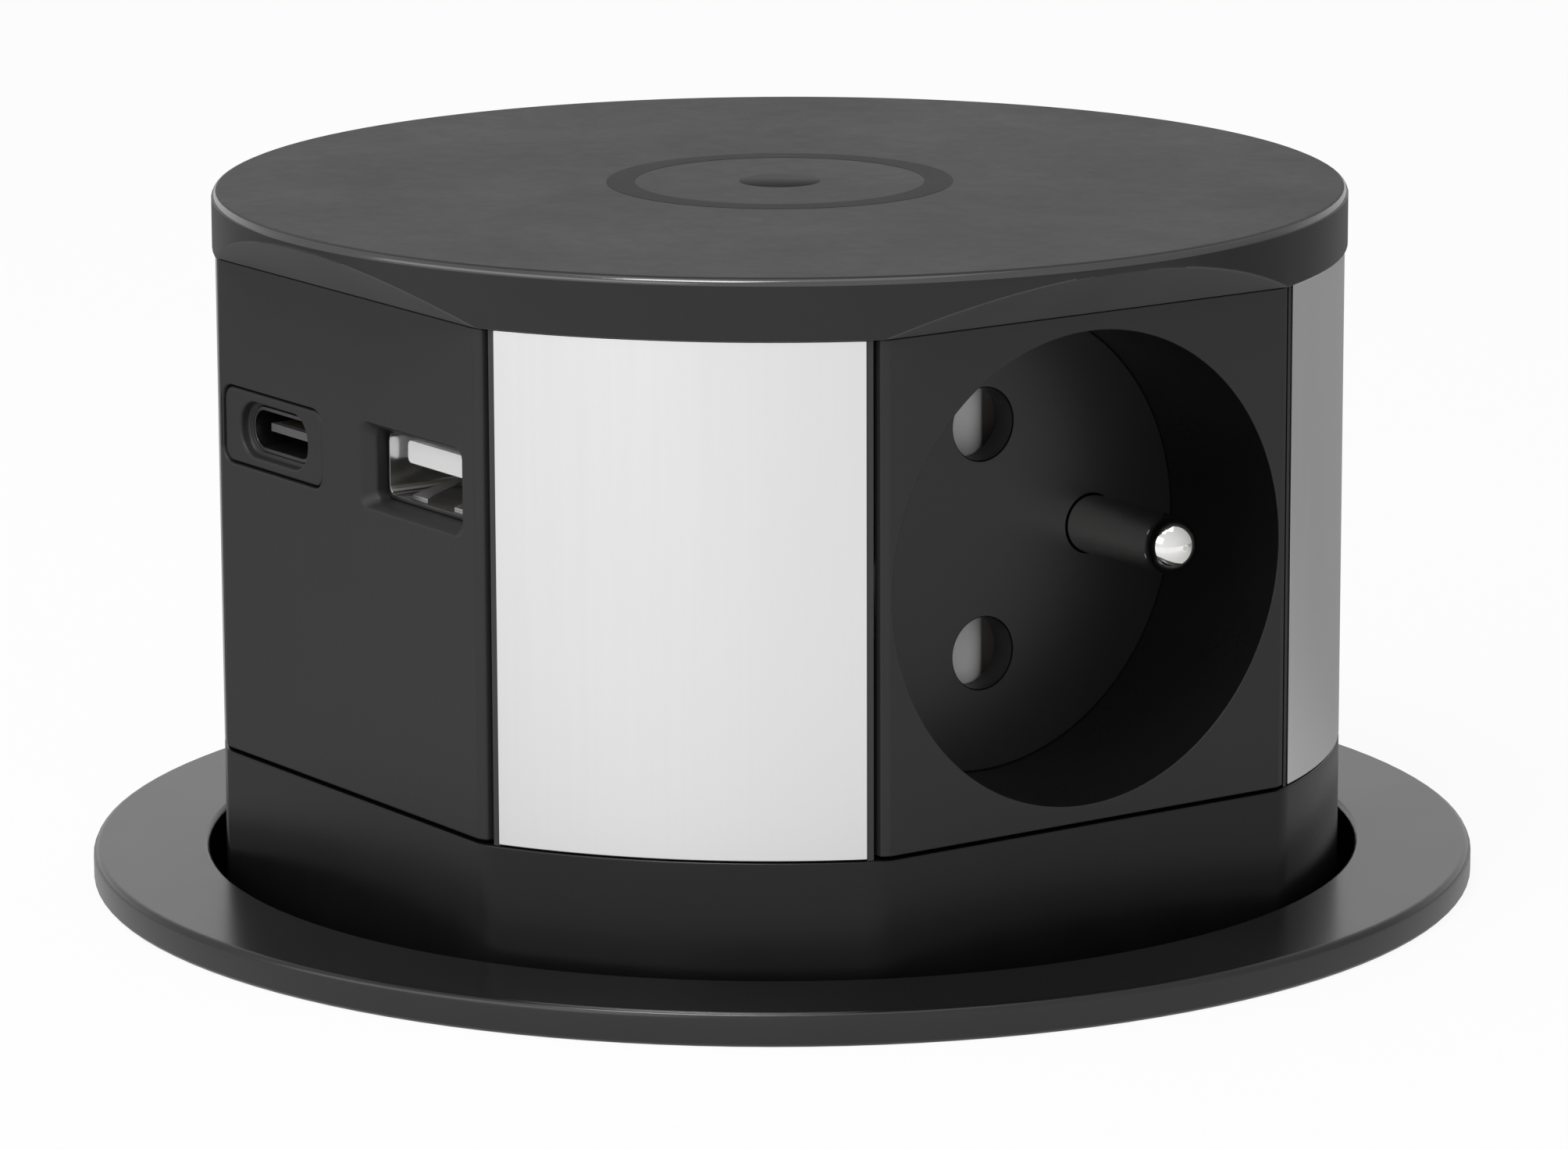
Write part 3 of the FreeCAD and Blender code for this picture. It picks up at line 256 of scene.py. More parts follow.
def make_rim_finish():
    """The cap's side: the same charcoal, moulded smoother."""
    finish = Finish("charcoal_rim", Specular_IOR_Level=0.31)
    cloud = finish.noise(10 * MM, 3.0)
    grain = finish.noise(0.25 * MM, 2.0, rough=0.6)
    finish.give("Base Color", finish.colours(cloud * 0.6 + grain * 0.4, grey(0.010), grey(0.018)))
    finish.give("Roughness", 0.30 + (cloud - 0.5) * 0.08 + (grain - 0.5) * 0.06)
    finish.bump(grain, 0.004 * MM)
    return finish.material


def make_gloss_black():
    """The plinth's polished black moulding, with slight waves and faint handling haze."""
    finish = Finish("plinth_black", Specular_IOR_Level=0.3)
    haze = finish.noise(7 * MM, 4.0)
    wave = finish.noise(22 * MM, 1.0)
    dust = finish.cells(0.9 * MM)
    finish.give("Base Color", finish.colours(haze, grey(0.004), grey(0.007)))
    finish.give("Roughness", 0.24 + haze * 0.10 + (1 - dust.band(0.0, 0.25)) * 0.05)
    finish.bump(wave * 0.9 + haze * 0.1, 0.02 * MM)
    return finish.material


def make_flange_black():
    """The flange's satin black: even etched grain, a little smoother than the faces."""
    finish = Finish("flange_satin", Specular_IOR_Level=0.56)
    mottle = finish.noise(14 * MM, 3.0)
    grain = finish.noise(0.2 * MM, 2.0, rough=0.6)
    finish.give("Base Color", finish.colours(mottle, grey(0.005), grey(0.009)))
    finish.give("Roughness", 0.24 + (mottle - 0.5) * 0.06 + (grain - 0.5) * 0.06)
    finish.bump(grain, 0.004 * MM)
    return finish.material


def make_brushed_aluminium():
    """Matt anodised aluminium: drawn lines up the panel, a fine blasted grain over them."""
    finish = Finish("anodised_aluminium", Metallic=1.0, Anisotropic=0.3, Anisotropic_Rotation=0.25)
    lines = finish.noise(0.5 * MM, 3.0, stretch=(1, 1, 0.02))
    grain = finish.noise(0.14 * MM, 2.0, rough=0.7)
    cloud = finish.noise(18 * MM, 2.0, stretch=(1, 1, 0.5))
    finish.give("Base Color", finish.colours(cloud * 0.5 + lines * 0.5, grey(0.75), grey(0.80)))
    finish.give("Roughness", 0.36 + (lines - 0.5) * 0.10 + (grain - 0.5) * 0.08)
    finish.bump(lines * 0.35 + grain * 0.65, 0.004 * MM)
    return finish.material


def plated_metal(name, bright, dull, rough, depth):
    """Plated or bare sheet metal: faint rolling lines, small dull spots."""
    finish = Finish(name, Metallic=1.0)
    lines = finish.noise(0.3 * MM, 2.0, stretch=(0.05, 1, 1))
    spots = finish.noise(1.4 * MM, 4.0)
    finish.give("Base Color", finish.colours(spots, dull, bright))
    finish.give("Roughness", rough + (spots - 0.5) * 0.10 + (lines - 0.5) * 0.06)
    finish.bump(lines * 0.6 + spots * 0.4, depth)
    return finish.material


def make_polished_pin():
    """Bright nickel on the earth pins, with hair-fine marks along the shank from plugs."""
    finish = Finish("bright_nickel", Metallic=1.0)
    marks = finish.noise(0.25 * MM, 3.0, stretch=(0.1, 0.1, 1))
    spots = finish.noise(1.1 * MM, 3.0)
    finish.give("Base Color", finish.colours(spots, (0.82, 0.81, 0.79), (0.93, 0.93, 0.92)))
    finish.give("Roughness", 0.045 + (marks - 0.4) * 0.05)
    finish.bump(marks, 0.002 * MM)
    return finish.material


def make_board():
    """Green circuit board with copper runs under the mask and the fibre's weave in it."""
    finish = Finish("circuit_board", Specular_IOR_Level=0.5)
    runs = finish.node("ShaderNodeTexBrick", {"offset": 0.5},
                       {"Vector": finish.place(), "Scale": 1 / (3.2 * MM), "Mortar Size": 0.06,
                        "Color1": (1, 1, 1, 1), "Color2": (1, 1, 1, 1), "Mortar": (0, 0, 0, 1)},
                       out="Fac")
    weave = finish.noise(0.4 * MM, 2.0)
    mask = finish.colours(runs * 0.8 + weave * 0.2, (0.012, 0.085, 0.035), (0.03, 0.17, 0.07))
    finish.give("Base Color", mask)
    finish.give("Roughness", 0.32 + weave * 0.12)
    finish.bump(runs * 0.7 + weave * 0.3, 0.02 * MM)
    return finish.material


def make_winding():
    """Lacquered copper: wound turns show as fine rings about the tower's axis."""
    finish = Finish("lacquered_copper", Metallic=0.85, Coat_Roughness=0.1)
    across = finish.axis("X")
    along = finish.axis("Y")
    radius = (across * across + along * along) ** 0.5
    turns = (radius * (2 * math.pi / (0.8 * MM))).math("SINE") * 0.5 + 0.5
    stain = finish.noise(3 * MM, 3.0)
    finish.give("Base Color", finish.colours(stain, (0.42, 0.17, 0.06), (0.72, 0.34, 0.14)))
    finish.give("Roughness", 0.30 + stain * 0.15)
    finish.give("Coat Weight", 0.4 + stain * 0.2)
    finish.bump(turns, 0.15 * MM)
    return finish.material


def make_rubber():
    """Soft black rubber: dull, with a dusty bloom."""
    finish = Finish("soft_rubber", Specular_IOR_Level=0.3)
    bloom = finish.noise(5 * MM, 4.0)
    grain = finish.noise(0.3 * MM, 2.0)
    finish.give("Base Color", finish.colours(bloom, grey(0.018), grey(0.032)))
    finish.give("Roughness", 0.72 + bloom * 0.15)
    finish.bump(grain, 0.02 * MM)
    return finish.material


def make_slot_finishes():
    """The usual finish of each of the record's material slots."""
    return {
        "black_moulding": make_gloss_black(),
        "hidden_moulding": grained_plastic("hidden_black", level=0.022, spread=0.004, rough=0.55,
                                           grain=0.35 * MM, depth=0.02 * MM),
        "cap_finish": make_cap_finish(),
        "face_moulding": grained_plastic("face_black", level=0.016, spread=0.004, rough=0.48,
                                         grain=0.22 * MM, depth=0.009 * MM, gloss=0.36),
        "brushed_panel": make_brushed_aluminium(),
        "nickel_plating": make_polished_pin(),
        "contact_brass": plated_metal("spring_brass", bright=(0.78, 0.60, 0.28),
                                      dull=(0.60, 0.44, 0.18), rough=0.28, depth=0.004 * MM),
        "shutter_moulding": grained_plastic("shutter_grey", level=0.56, spread=0.03, rough=0.5,
                                            grain=0.25 * MM, depth=0.008 * MM),
        "carrier_moulding": grained_plastic("natural_plastic", level=0.56, spread=0.04, rough=0.55,
                                            grain=0.4 * MM, depth=0.02 * MM, warm=0.06),
        "port_shell": plated_metal("port_steel", bright=grey(0.80), dull=grey(0.62), rough=0.2,
                                   depth=0.003 * MM),
        "usb_c_tongue_moulding": grained_plastic("port_black", level=0.10, spread=0.01, rough=0.45,
                                                 grain=0.15 * MM, depth=0.005 * MM),
        "usb_a_tongue_moulding": grained_plastic("port_white", level=0.82, spread=0.03, rough=0.4,
                                                 grain=0.15 * MM, depth=0.004 * MM),
        "circuit_board": make_board(),
        "electronic_part": grained_plastic("component_black", level=0.035, spread=0.006, rough=0.45,
                                           grain=0.3 * MM, depth=0.01 * MM),
        "coil_winding": make_winding(),
        "steel": plated_metal("zinc_steel", bright=(0.66, 0.67, 0.68), dull=(0.50, 0.51, 0.53),
                              rough=0.3, depth=0.005 * MM),
        "bush_moulding": grained_plastic("bush_natural", level=0.72, spread=0.03, rough=0.5,
                                         grain=0.4 * MM, depth=0.015 * MM),
        "catch_moulding": grained_plastic("catch_grey", level=0.08, spread=0.01, rough=0.5,
                                          grain=0.3 * MM, depth=0.015 * MM),
        "soft_rubber": make_rubber(),
    }


def make_own_finishes():
    """Finishes of single pieces and of parts of a piece."""
    return {
        "flange": make_flange_black(),
        "rim": make_rim_finish(),
        "charge_mark": grained_plastic("charge_mark_black", level=0.006, spread=0.002, rough=0.5,
                                       grain=0.2 * MM, depth=0.006 * MM, gloss=0.12),
        # Inside each socket's well the black is darker than the face moulding. This is painted shade: darkest on
        # the wall and in the rounding at the floor, and less dark on the floor.
        "well": grained_plastic("well_black", level=0.0035, spread=0.001, rough=0.30,
                                grain=0.22 * MM, depth=0.003 * MM),
        "well_floor": grained_plastic("well_floor_black", level=0.009, spread=0.002, rough=0.36,
                                      grain=0.22 * MM, depth=0.003 * MM),
        "well_corner": grained_plastic("well_corner_black", level=0.003, spread=0.001, rough=0.6,
                                       grain=0.22 * MM, depth=0.003 * MM, gloss=0.05),
        # The cap's underside facets: a charcoal much lighter than the rim's, which is painted light that stands in
        # for light from the worktop below.
        "underside": grained_plastic("underside_charcoal", level=0.05, spread=0.01, rough=0.55,
                                     grain=0.25 * MM, depth=0.008 * MM),
        # The cap's top edge: smoother and glossier than the rim, and lighter in colour, which is a painted
        # highlight along the edge.
        "edge": grained_plastic("burnished_edge", level=0.03, spread=0.006, rough=0.13,
                                grain=0.3 * MM, depth=0.001 * MM, gloss=0.9),
        "dark_shell": plated_metal("dark_port_steel", bright=grey(0.16), dull=grey(0.10),
                                   rough=0.34, depth=0.003 * MM),
    }


# Mesh helpers. Edges that turn by less than SMOOTH_BELOW are shaded smooth, and edges that turn
# by more than ROUND_ABOVE are rounded.

SMOOTH_BELOW = math.radians(35)
ROUND_ABOVE = math.radians(28)
SAME_POINT = 0.001 * MM
SAME_PLANE = math.radians(0.3)


def piece_from(name, mesh_code):
    """A new object whose mesh is filled by a function that takes a bmesh."""
    work = bmesh.new()
    mesh_code(work)
    bmesh.ops.recalc_face_normals(work, faces=work.faces)
    mesh = bpy.data.meshes.new(name)
    work.to_mesh(mesh)
    work.free()
    piece = bpy.data.objects.new(name, mesh)
    bpy.context.scene.collection.objects.link(piece)
    return piece


def shade(piece):
    """Smooth shading, with the sharper edges kept crisp."""
    mesh = piece.data
    mesh.polygons.foreach_set("use_smooth", [True] * len(mesh.polygons))
    mesh.set_sharp_from_angle(angle=SMOOTH_BELOW)
    weights = piece.modifiers.new("weights", "WEIGHTED_NORMAL")
    weights.keep_sharp = True


def bevel(work, edges, width, steps, clamp=False):
    bmesh.ops.bevel(work, geom=edges, offset=width, offset_type="OFFSET", segments=steps,
                    profile=0.5, affect="EDGES", clamp_overlap=clamp)


def round_edges(work, width, steps):
    """Round every edge that turns enough to be seen as one."""
    bevel(work, [edge for edge in work.edges
                 if edge.is_manifold and edge.calc_face_angle() > ROUND_ABOVE], width, steps)


def join_rows(work, rows):
    """Faces between rows of points that each run round a closed section."""
    for here, there in zip(rows, rows[1:]):
        for place in range(len(here)):
            after = (place + 1) % len(here)
            work.faces.new((here[place], there[place], there[after], here[after]))


def close_ends(work, rows):
    work.faces.new(rows[0])
    work.faces.new(list(reversed(rows[-1])))


def ring_of(work, profile, segments):
    """Turn a profile of radius and height pairs about the tower's axis."""
    rows = []
    for number in range(segments):
        angle = 2 * math.pi * number / segments
        rows.append([work.verts.new((radius * math.cos(angle), radius * math.sin(angle), height))
                     for radius, height in profile])
    join_rows(work, [*rows, rows[0]])


def slab(work, low, high):
    """A box between two corners."""
    for vert in bmesh.ops.create_cube(work, size=1.0)["verts"]:
        vert.co = Vector((low[axis] if vert.co[axis] < 0 else high[axis] for axis in range(3)))


def tube_along(work, points, radius, sides=10):
    """A round wire through a list of points."""
    rings = []
    for number, point in enumerate(points):
        before = points[max(number - 1, 0)]
        after = points[min(number + 1, len(points) - 1)]
        along = (after - before).normalized()
        side = along.cross(Vector((0, 0, 1))).normalized()
        up = side.cross(along)
        rings.append([work.verts.new(point + (side * math.cos(turn) + up * math.sin(turn)) * radius)
                      for turn in (2 * math.pi * step / sides for step in range(sides))])
    join_rows(work, rings)
    close_ends(work, rings)


def paint(piece, *layers):
    for finish in layers:
        piece.data.materials.append(finish)


def dress(node, width, steps, finish, change, zones):
    """A finer copy of a CAD node; zones are pairs of another finish and where it lies."""
    source = frame["nodes"][node].data

    def code(work):
        work.from_mesh(source)
        bmesh.ops.remove_doubles(work, verts=work.verts, dist=SAME_POINT)
        bmesh.ops.dissolve_limit(work, angle_limit=SAME_PLANE, verts=work.verts, edges=work.edges)
        if change:
            change(work)
        round_edges(work, width, steps)
        work.normal_update()
        for number, (_, inside) in enumerate(zones, 1):
            for face in work.faces:
                if inside(face.calc_center_median(), face.normal):
                    face.material_index = number

    piece = piece_from(node + "_finished", code)
    paint(piece, finish, *(zone[0] for zone in zones))
    shade(piece)
    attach(piece, body_of[node])
    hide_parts(node)


def add_piece(name, mesh_code, body, slot, finish=None):
    """A piece of its own that rides on a body."""
    piece = piece_from(name, mesh_code)
    paint(piece, finish or finishes[slot])
    shade(piece)
    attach(piece, body)
    return piece


# Tests that say which faces of a piece take another finish. Each takes a face's centre and normal.
# A slope is the part of the normal that points up, or out of the face.

UPWARD = 0.9
OUTWARD = 0.6
CAP_EDGE_SLOPE = (0.15, 0.88)
CAP_FACET_SLOPE = (-0.85, -0.4)
CORNER_SLOPE = (0.15, 0.95)
CAP_TOP_BAND = 0.1 * MM
CAP_EDGE_BAND = 0.7 * MM
CAP_FACET_START = 1.2 * MM
LIP_BAND = 0.1 * MM
WELL_RADIUS = 19.3 * MM
WELL_DEPTH = 14.3 * MM
WELL_HEIGHT = (PIN_LOW.z + PIN_HIGH.z) / 2
WELL_STARTS = 0.12 * MM
HOLE_ENDS = 16.7 * MM
FLOOR_STARTS = WELL_DEPTH - 0.06 * MM
CORNER_STARTS = WELL_DEPTH - 0.2 * MM
CLEARANCE = 0.05 * MM


def on_cap_top(centre, normal):
    return normal.z > UPWARD and centre.z > CAP_HIGH.z - CAP_TOP_BAND


# Faces of the cap's top edge, whose lighter colour is a painted highlight.
def on_cap_edge(centre, normal):
    low, high = CAP_EDGE_SLOPE
    return low < normal.z < high and centre.z > CAP_HIGH.z - CAP_EDGE_BAND


# Faces under the cap's rim, which take a lighter colour that is painted light.
def under_cap(centre, normal):
    low, high = CAP_FACET_SLOPE
    return low < normal.z < high and centre.z < CAP_HIGH.z - CAP_FACET_START


def on_shell_lip(centre, normal):
    return normal.x < -OUTWARD and centre.x < PORT_A_LOW.x + LIP_BAND


def on_board_edge(centre, normal):
    return normal.x < -OUTWARD


def way_out(bearing):
    """The way in which the socket at a bearing in degrees looks."""
    return Vector((math.cos(math.radians(bearing)), math.sin(math.radians(bearing)), 0))


def in_well(bearing, start):
    """A test for one socket's well and holes, from a depth on."""
    out = way_out(bearing)
    side = Vector((-out.y, out.x, 0))

    def inside(centre, normal):
        away = math.hypot(centre.dot(side), centre.z - WELL_HEIGHT)
        depth = FACE_REACH - centre.dot(out)
        return away < WELL_RADIUS + CLEARANCE and start < depth < HOLE_ENDS

    return inside


def in_well_corner(bearing):
    """A test for the narrow rounding where the well's wall and its holes meet its floor."""
    out = way_out(bearing)
    near = in_well(bearing, CORNER_STARTS)

    def inside(centre, normal):
        low, high = CORNER_SLOPE
        return near(centre, normal) and low < normal.dot(out) < high

    return inside


# Changes to the copies of single nodes

RECESS_MARGIN = 1.3 * MM
RECESS_REACH = 2.5 * MM
RECESS_CORNER = 0.8 * MM
RECESS_LEAST_RUN = 0.5 * MM
TONGUE_CORNER = 0.45 * MM
TONGUE_LEAST_RUN = 1 * MM
CORNER_STEPS = 4


def runs_inwards(edge, least):
    """Whether an edge runs along x, into the USB face, for at least a length."""
    return abs(edge.verts[0].co.x - edge.verts[1].co.x) > least and edge.is_manifold


def round_recess(work):
    """Round the four corners of the USB-A recess, or of its shell, all the way in."""
    low = PORT_A_LOW - Vector((RECESS_REACH, RECESS_MARGIN, RECESS_MARGIN))
    high = PORT_A_HIGH + Vector((0, RECESS_MARGIN, RECESS_MARGIN))
    corners = [edge for edge in work.edges if runs_inwards(edge, RECESS_LEAST_RUN)
               and all(low[axis] < vert.co[axis] < high[axis]
                       for vert in edge.verts for axis in range(3))]
    bevel(work, corners, RECESS_CORNER, CORNER_STEPS)


def round_tongue(work):
    """Round the long corners of the USB-A tongue."""
    corners = [edge for edge in work.edges if runs_inwards(edge, TONGUE_LEAST_RUN)]
    bevel(work, corners, TONGUE_CORNER, CORNER_STEPS, clamp=True)


SHUTTER_REACH = 3.6 * MM
SHUTTER_SLANT = 0.3 * MM
NOSE_START = 0.45 * MM
NOSE_RADIUS = 2.8 * MM
NOSE_STEPS = 12


def soft_nose(bearing):
    """The shutter with the rounded nose that fills the left of each hole."""
    turn = Matrix.Rotation(math.radians(bearing), 3, "Z")

    def change(work):
        box = [vert.co.copy() for vert in work.verts]
        work.clear()
        heights = [point.z for point in box]
        reach = [(turn.inverted() @ point).x for point in box]
        back, front = min(reach), max(reach)
        bends = [step * math.pi / (2 * NOSE_STEPS) for step in range(NOSE_STEPS + 1)]
        arc = [(front - NOSE_RADIUS * (1 - math.cos(bend)),
                NOSE_START + NOSE_RADIUS * math.sin(bend)) for bend in bends]
        line = [(back, -SHUTTER_REACH), (front, -SHUTTER_REACH), *arc,
                (back + SHUTTER_SLANT, SHUTTER_REACH), (back, SHUTTER_REACH)]
        low, high = [[work.verts.new(turn @ Vector((x, y, level))) for x, y in line]
                     for level in (min(heights), max(heights))]
        for place in range(len(line)):
            after = (place + 1) % len(line)
            work.faces.new((low[place], low[after], high[after], high[place]))
        close_ends(work, (high, low))
        bmesh.ops.recalc_face_normals(work, faces=work.faces)

    return change


HEAD_CORNERS = 8
HEAD_LEVEL_BAND = 0.1 * MM
DRIVER_INSET = 0.42
DRIVER_DEPTH = 0.9 * MM
LOBE_COUNT = 6
LOBE_SHARE = 0.14


def screw_recess(work):
    """Six-lobed driver recesses in the heads: the lowest faces with many corners."""
    heads = [face for face in work.faces
             if face.normal.z < -UPWARD and len(face.verts) > HEAD_CORNERS]
    lowest = min(face.calc_center_median().z for face in heads)
    heads = [face for face in heads if face.calc_center_median().z < lowest + HEAD_LEVEL_BAND]
    for face in heads:
        middle = face.calc_center_median()
        radius = max((vert.co - middle).length for vert in face.verts)
        bmesh.ops.inset_region(work, faces=[face], thickness=radius * DRIVER_INSET)
        for vert in face.verts:
            away = vert.co - middle
            lobes = 1 - LOBE_SHARE + LOBE_SHARE * math.cos(LOBE_COUNT * math.atan2(away.y, away.x))
            vert.co = middle + away * lobes
        sunk = bmesh.ops.extrude_discrete_faces(work, faces=[face])["faces"]
        for vert in sunk[0].verts:
            vert.co.z += DRIVER_DEPTH


# Pieces that the CAD leaves to the looks

MARK_RADIUS = 14.5 * MM
MARK_STROKE = 2.4 * MM
MARK_DOT = 3.4 * MM
MARK_STAND = 0.02 * MM
MARK_AXIS_GAP = 0.0001 * MM


def make_charge_mark():
    """A plain ring and a dot in the middle of the cap, where a phone is laid."""
    top = CAP_HIGH.z

    def ring(work):
        inner = MARK_RADIUS - MARK_STROKE
        ring_of(work, [(inner, top - MARK_STAND), (MARK_RADIUS, top - MARK_STAND),
                       (MARK_RADIUS, top + MARK_STAND / 2),
                       (MARK_RADIUS - MARK_STAND, top + MARK_STAND),
                       (inner + MARK_STAND, top + MARK_STAND),
                       (inner, top + MARK_STAND / 2)], segments=192)

    def dot(work):
        ring_of(work, [(MARK_AXIS_GAP, top - MARK_STAND), (MARK_DOT, top - MARK_STAND),
                       (MARK_DOT, top + MARK_STAND / 2), (MARK_DOT - MARK_STAND, top + MARK_STAND),
                       (MARK_AXIS_GAP, top + MARK_STAND)], segments=96)

    add_piece("charge_mark_ring", ring, "tower", "cap_finish", finishes["charge_mark"])
    add_piece("charge_mark_dot", dot, "tower", "cap_finish", finishes["charge_mark"])


THREAD_PITCH = 3.0 * MM
THREAD_HEIGHT = 0.55 * MM
THREAD_SUNK = 0.15 * MM
THREAD_FOOT = 0.95 * MM
THREAD_CREST = 0.35 * MM
THREAD_TOP = -9.0 * MM
THREAD_LOW = -70.0 * MM
THREAD_STEPS = 96
THREAD_RUN_IN = 24
THREAD_LEAST = 0.02


def make_thread():
    """The coarse thread that the clamp nut runs on, as one ridge round the barrel."""
    def code(work):
        count = int((THREAD_TOP - THREAD_LOW) / THREAD_PITCH * THREAD_STEPS)
        rows = []
        for number in range(count + 1):
            angle = 2 * math.pi * number / THREAD_STEPS
            height = THREAD_LOW + THREAD_PITCH * number / THREAD_STEPS
            run_in = min(1.0, number / THREAD_RUN_IN, (count - number) / THREAD_RUN_IN)
            crest = BARREL_RADIUS + THREAD_HEIGHT * max(run_in, THREAD_LEAST)
            foot = BARREL_RADIUS - THREAD_SUNK
            section = [(foot, height - THREAD_FOOT), (crest, height - THREAD_CREST),
                       (crest, height + THREAD_CREST), (foot, height + THREAD_FOOT)]
            rows.append([work.verts.new((reach * math.cos(angle), reach * math.sin(angle), level))
                         for reach, level in section])
        join_rows(work, rows)
        close_ends(work, rows)

    add_piece("barrel_thread", code, "housing", "black_moulding", finishes["flange"])


SPRING_WIRE = 0.8 * MM
SPRING_TURNS = 7
SPRING_STEPS = 40
SPRING_CLOSED_ENDS = 0.8


def make_spring():
    """The lift spring's round wire, closed at both ends."""
    def code(work):
        radius = SPRING_HIGH.x - SPRING_WIRE
        low = SPRING_LOW.z + SPRING_WIRE
        high = SPRING_HIGH.z - SPRING_WIRE
        count = SPRING_TURNS * SPRING_STEPS
        points = []
        for number in range(count + 1):
            angle = 2 * math.pi * number / SPRING_STEPS
            share = number / count
            eased = share - math.sin(2 * math.pi * share) / (2 * math.pi) * SPRING_CLOSED_ENDS
            points.append(Vector((radius * math.cos(angle), radius * math.sin(angle),
                                  low + (high - low) * eased)))
        tube_along(work, points, SPRING_WIRE)

    piece = add_piece("lift_spring_wire", code, "housing", "steel")
    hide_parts("lift_spring")
    length = SPRING_HIGH.z - SPRING_LOW.z
    (length + TRAVEL) / length
    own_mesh(piece)


# USB-A contacts: four fingers on the tongue and four leaves that grip the plug. Each row of a
# leaf's path is how far in it is, how far from the leaf's base and how wide, in mm.
FINGERS_A = 4
FINGER_A_PITCH_SHARE = 0.22
FINGER_A_HALF = 0.5 * MM
FINGER_A_GAPS = (0.7 * MM, 1.5 * MM)
FINGER_A_STAND = 0.12 * MM
FINGER_A_SUNK = 0.05 * MM
FINGER_A_ROUNDING = 0.03 * MM
LEAF_OFFSET = 3.1 * MM
LEAF_BASE = 0.32 * MM
LEAF_THICK = 0.15 * MM
LEAF_ROUNDING = 0.04 * MM
LEAF_SECTION = ((-1, 0), (1, 0), (1, LEAF_THICK), (-1, LEAF_THICK))
LEAF_PATH = ((0.9, 0, 2.2), (1.6, 0.25, 2.0), (4.6, 0.95, 1.3), (5.6, 0.75, 1.3), (8.4, 0, 2.0))

# USB-C contacts: twelve fingers on each side of the tongue
FINGERS_C = 12
FINGER_C_PITCH = 0.5 * MM
FINGER_C_HALF = 0.13 * MM
FINGER_C_GAPS = (0.5 * MM, 1.0 * MM)
FINGER_C_STAND = 0.02 * MM


def make_port_contacts():
    """Gold fingers on both tongues, and the bent leaves in the USB-A shell."""
    middle = (TONGUE_A_HIGH.y + TONGUE_A_LOW.y) / 2

    def fingers_a(work):
        pitch = (TONGUE_A_HIGH.y - TONGUE_A_LOW.y) * FINGER_A_PITCH_SHARE
        for number in range(FINGERS_A):
            y = middle + (number - (FINGERS_A - 1) / 2) * pitch
            slab(work, (TONGUE_A_LOW.x + FINGER_A_GAPS[0], y - FINGER_A_HALF,
                        TONGUE_A_LOW.z - FINGER_A_STAND),
                 (TONGUE_A_HIGH.x - FINGER_A_GAPS[1], y + FINGER_A_HALF,
                  TONGUE_A_LOW.z + FINGER_A_SUNK))
        round_edges(work, FINGER_A_ROUNDING, 1)

    def fingers_c(work):
        centre = (TONGUE_C_HIGH.y + TONGUE_C_LOW.y) / 2
        for number in range(FINGERS_C):
            y = centre + (number - (FINGERS_C - 1) / 2) * FINGER_C_PITCH
            for level in (TONGUE_C_LOW.z, TONGUE_C_HIGH.z):
                slab(work, (TONGUE_C_LOW.x + FINGER_C_GAPS[0], y - FINGER_C_HALF,
                            level - FINGER_C_STAND),
                     (TONGUE_C_HIGH.x - FINGER_C_GAPS[1], y + FINGER_C_HALF,
                      level + FINGER_C_STAND))

    def leaves_a(work):
        """Two bent leaves on the port's floor and two on its roof, which grip the plug."""
        for side in (-1, 1):
            y = middle + side * LEAF_OFFSET
            for base, way in ((PORT_A_LOW.z + LEAF_BASE, 1), (PORT_A_HIGH.z - LEAF_BASE, -1)):
                rows = []
                for inward, rise, width in LEAF_PATH:
                    x = PORT_A_LOW.x + inward * MM
                    level = base + way * rise * MM
                    rows.append([work.verts.new((x, y + across * width * MM / 2, level + lift))
                                 for across, lift in LEAF_SECTION])
                join_rows(work, rows)
                close_ends(work, rows)
        round_edges(work, LEAF_ROUNDING, 1)

    add_piece("usb_a_leaves", leaves_a, "tower", "port_shell")
    add_piece("usb_a_fingers", fingers_a, "tower", "contact_brass")
    add_piece("usb_c_fingers", fingers_c, "tower", "contact_brass")


# The stage. The floor and the room are white to the camera, but the light that they give is
# uneven: brightest towards the camera and to its left, with some more from the backdrop.

FLOOR_WHITENESS = 0.92
FLOOR_FALL = (-0.06, 0.115)
FLOOR_DIM = 0.25
FLOOR_BRIGHT_SIDE = (-0.66, -0.75, 0.0)
FLOOR_RADIUS = 4.0
FLOOR_THICK = 18 * MM
CUT_OUT_GAP = 0.6 * MM
ROOM_DIM = 0.16
ROOM_BRIGHT = 0.84
BRIGHT_SIDE = (-0.78, -0.62, 0.0)
BACKDROP_LIGHT = 0.67
BACKDROP_SIDE = (0.57, 0.82, 0.0)
BACKDROP_SPREAD = (0.4, 0.9)
BACKDROP_FADE = (0.22, 0.5)
MIRRORED_WHITE = 0.2


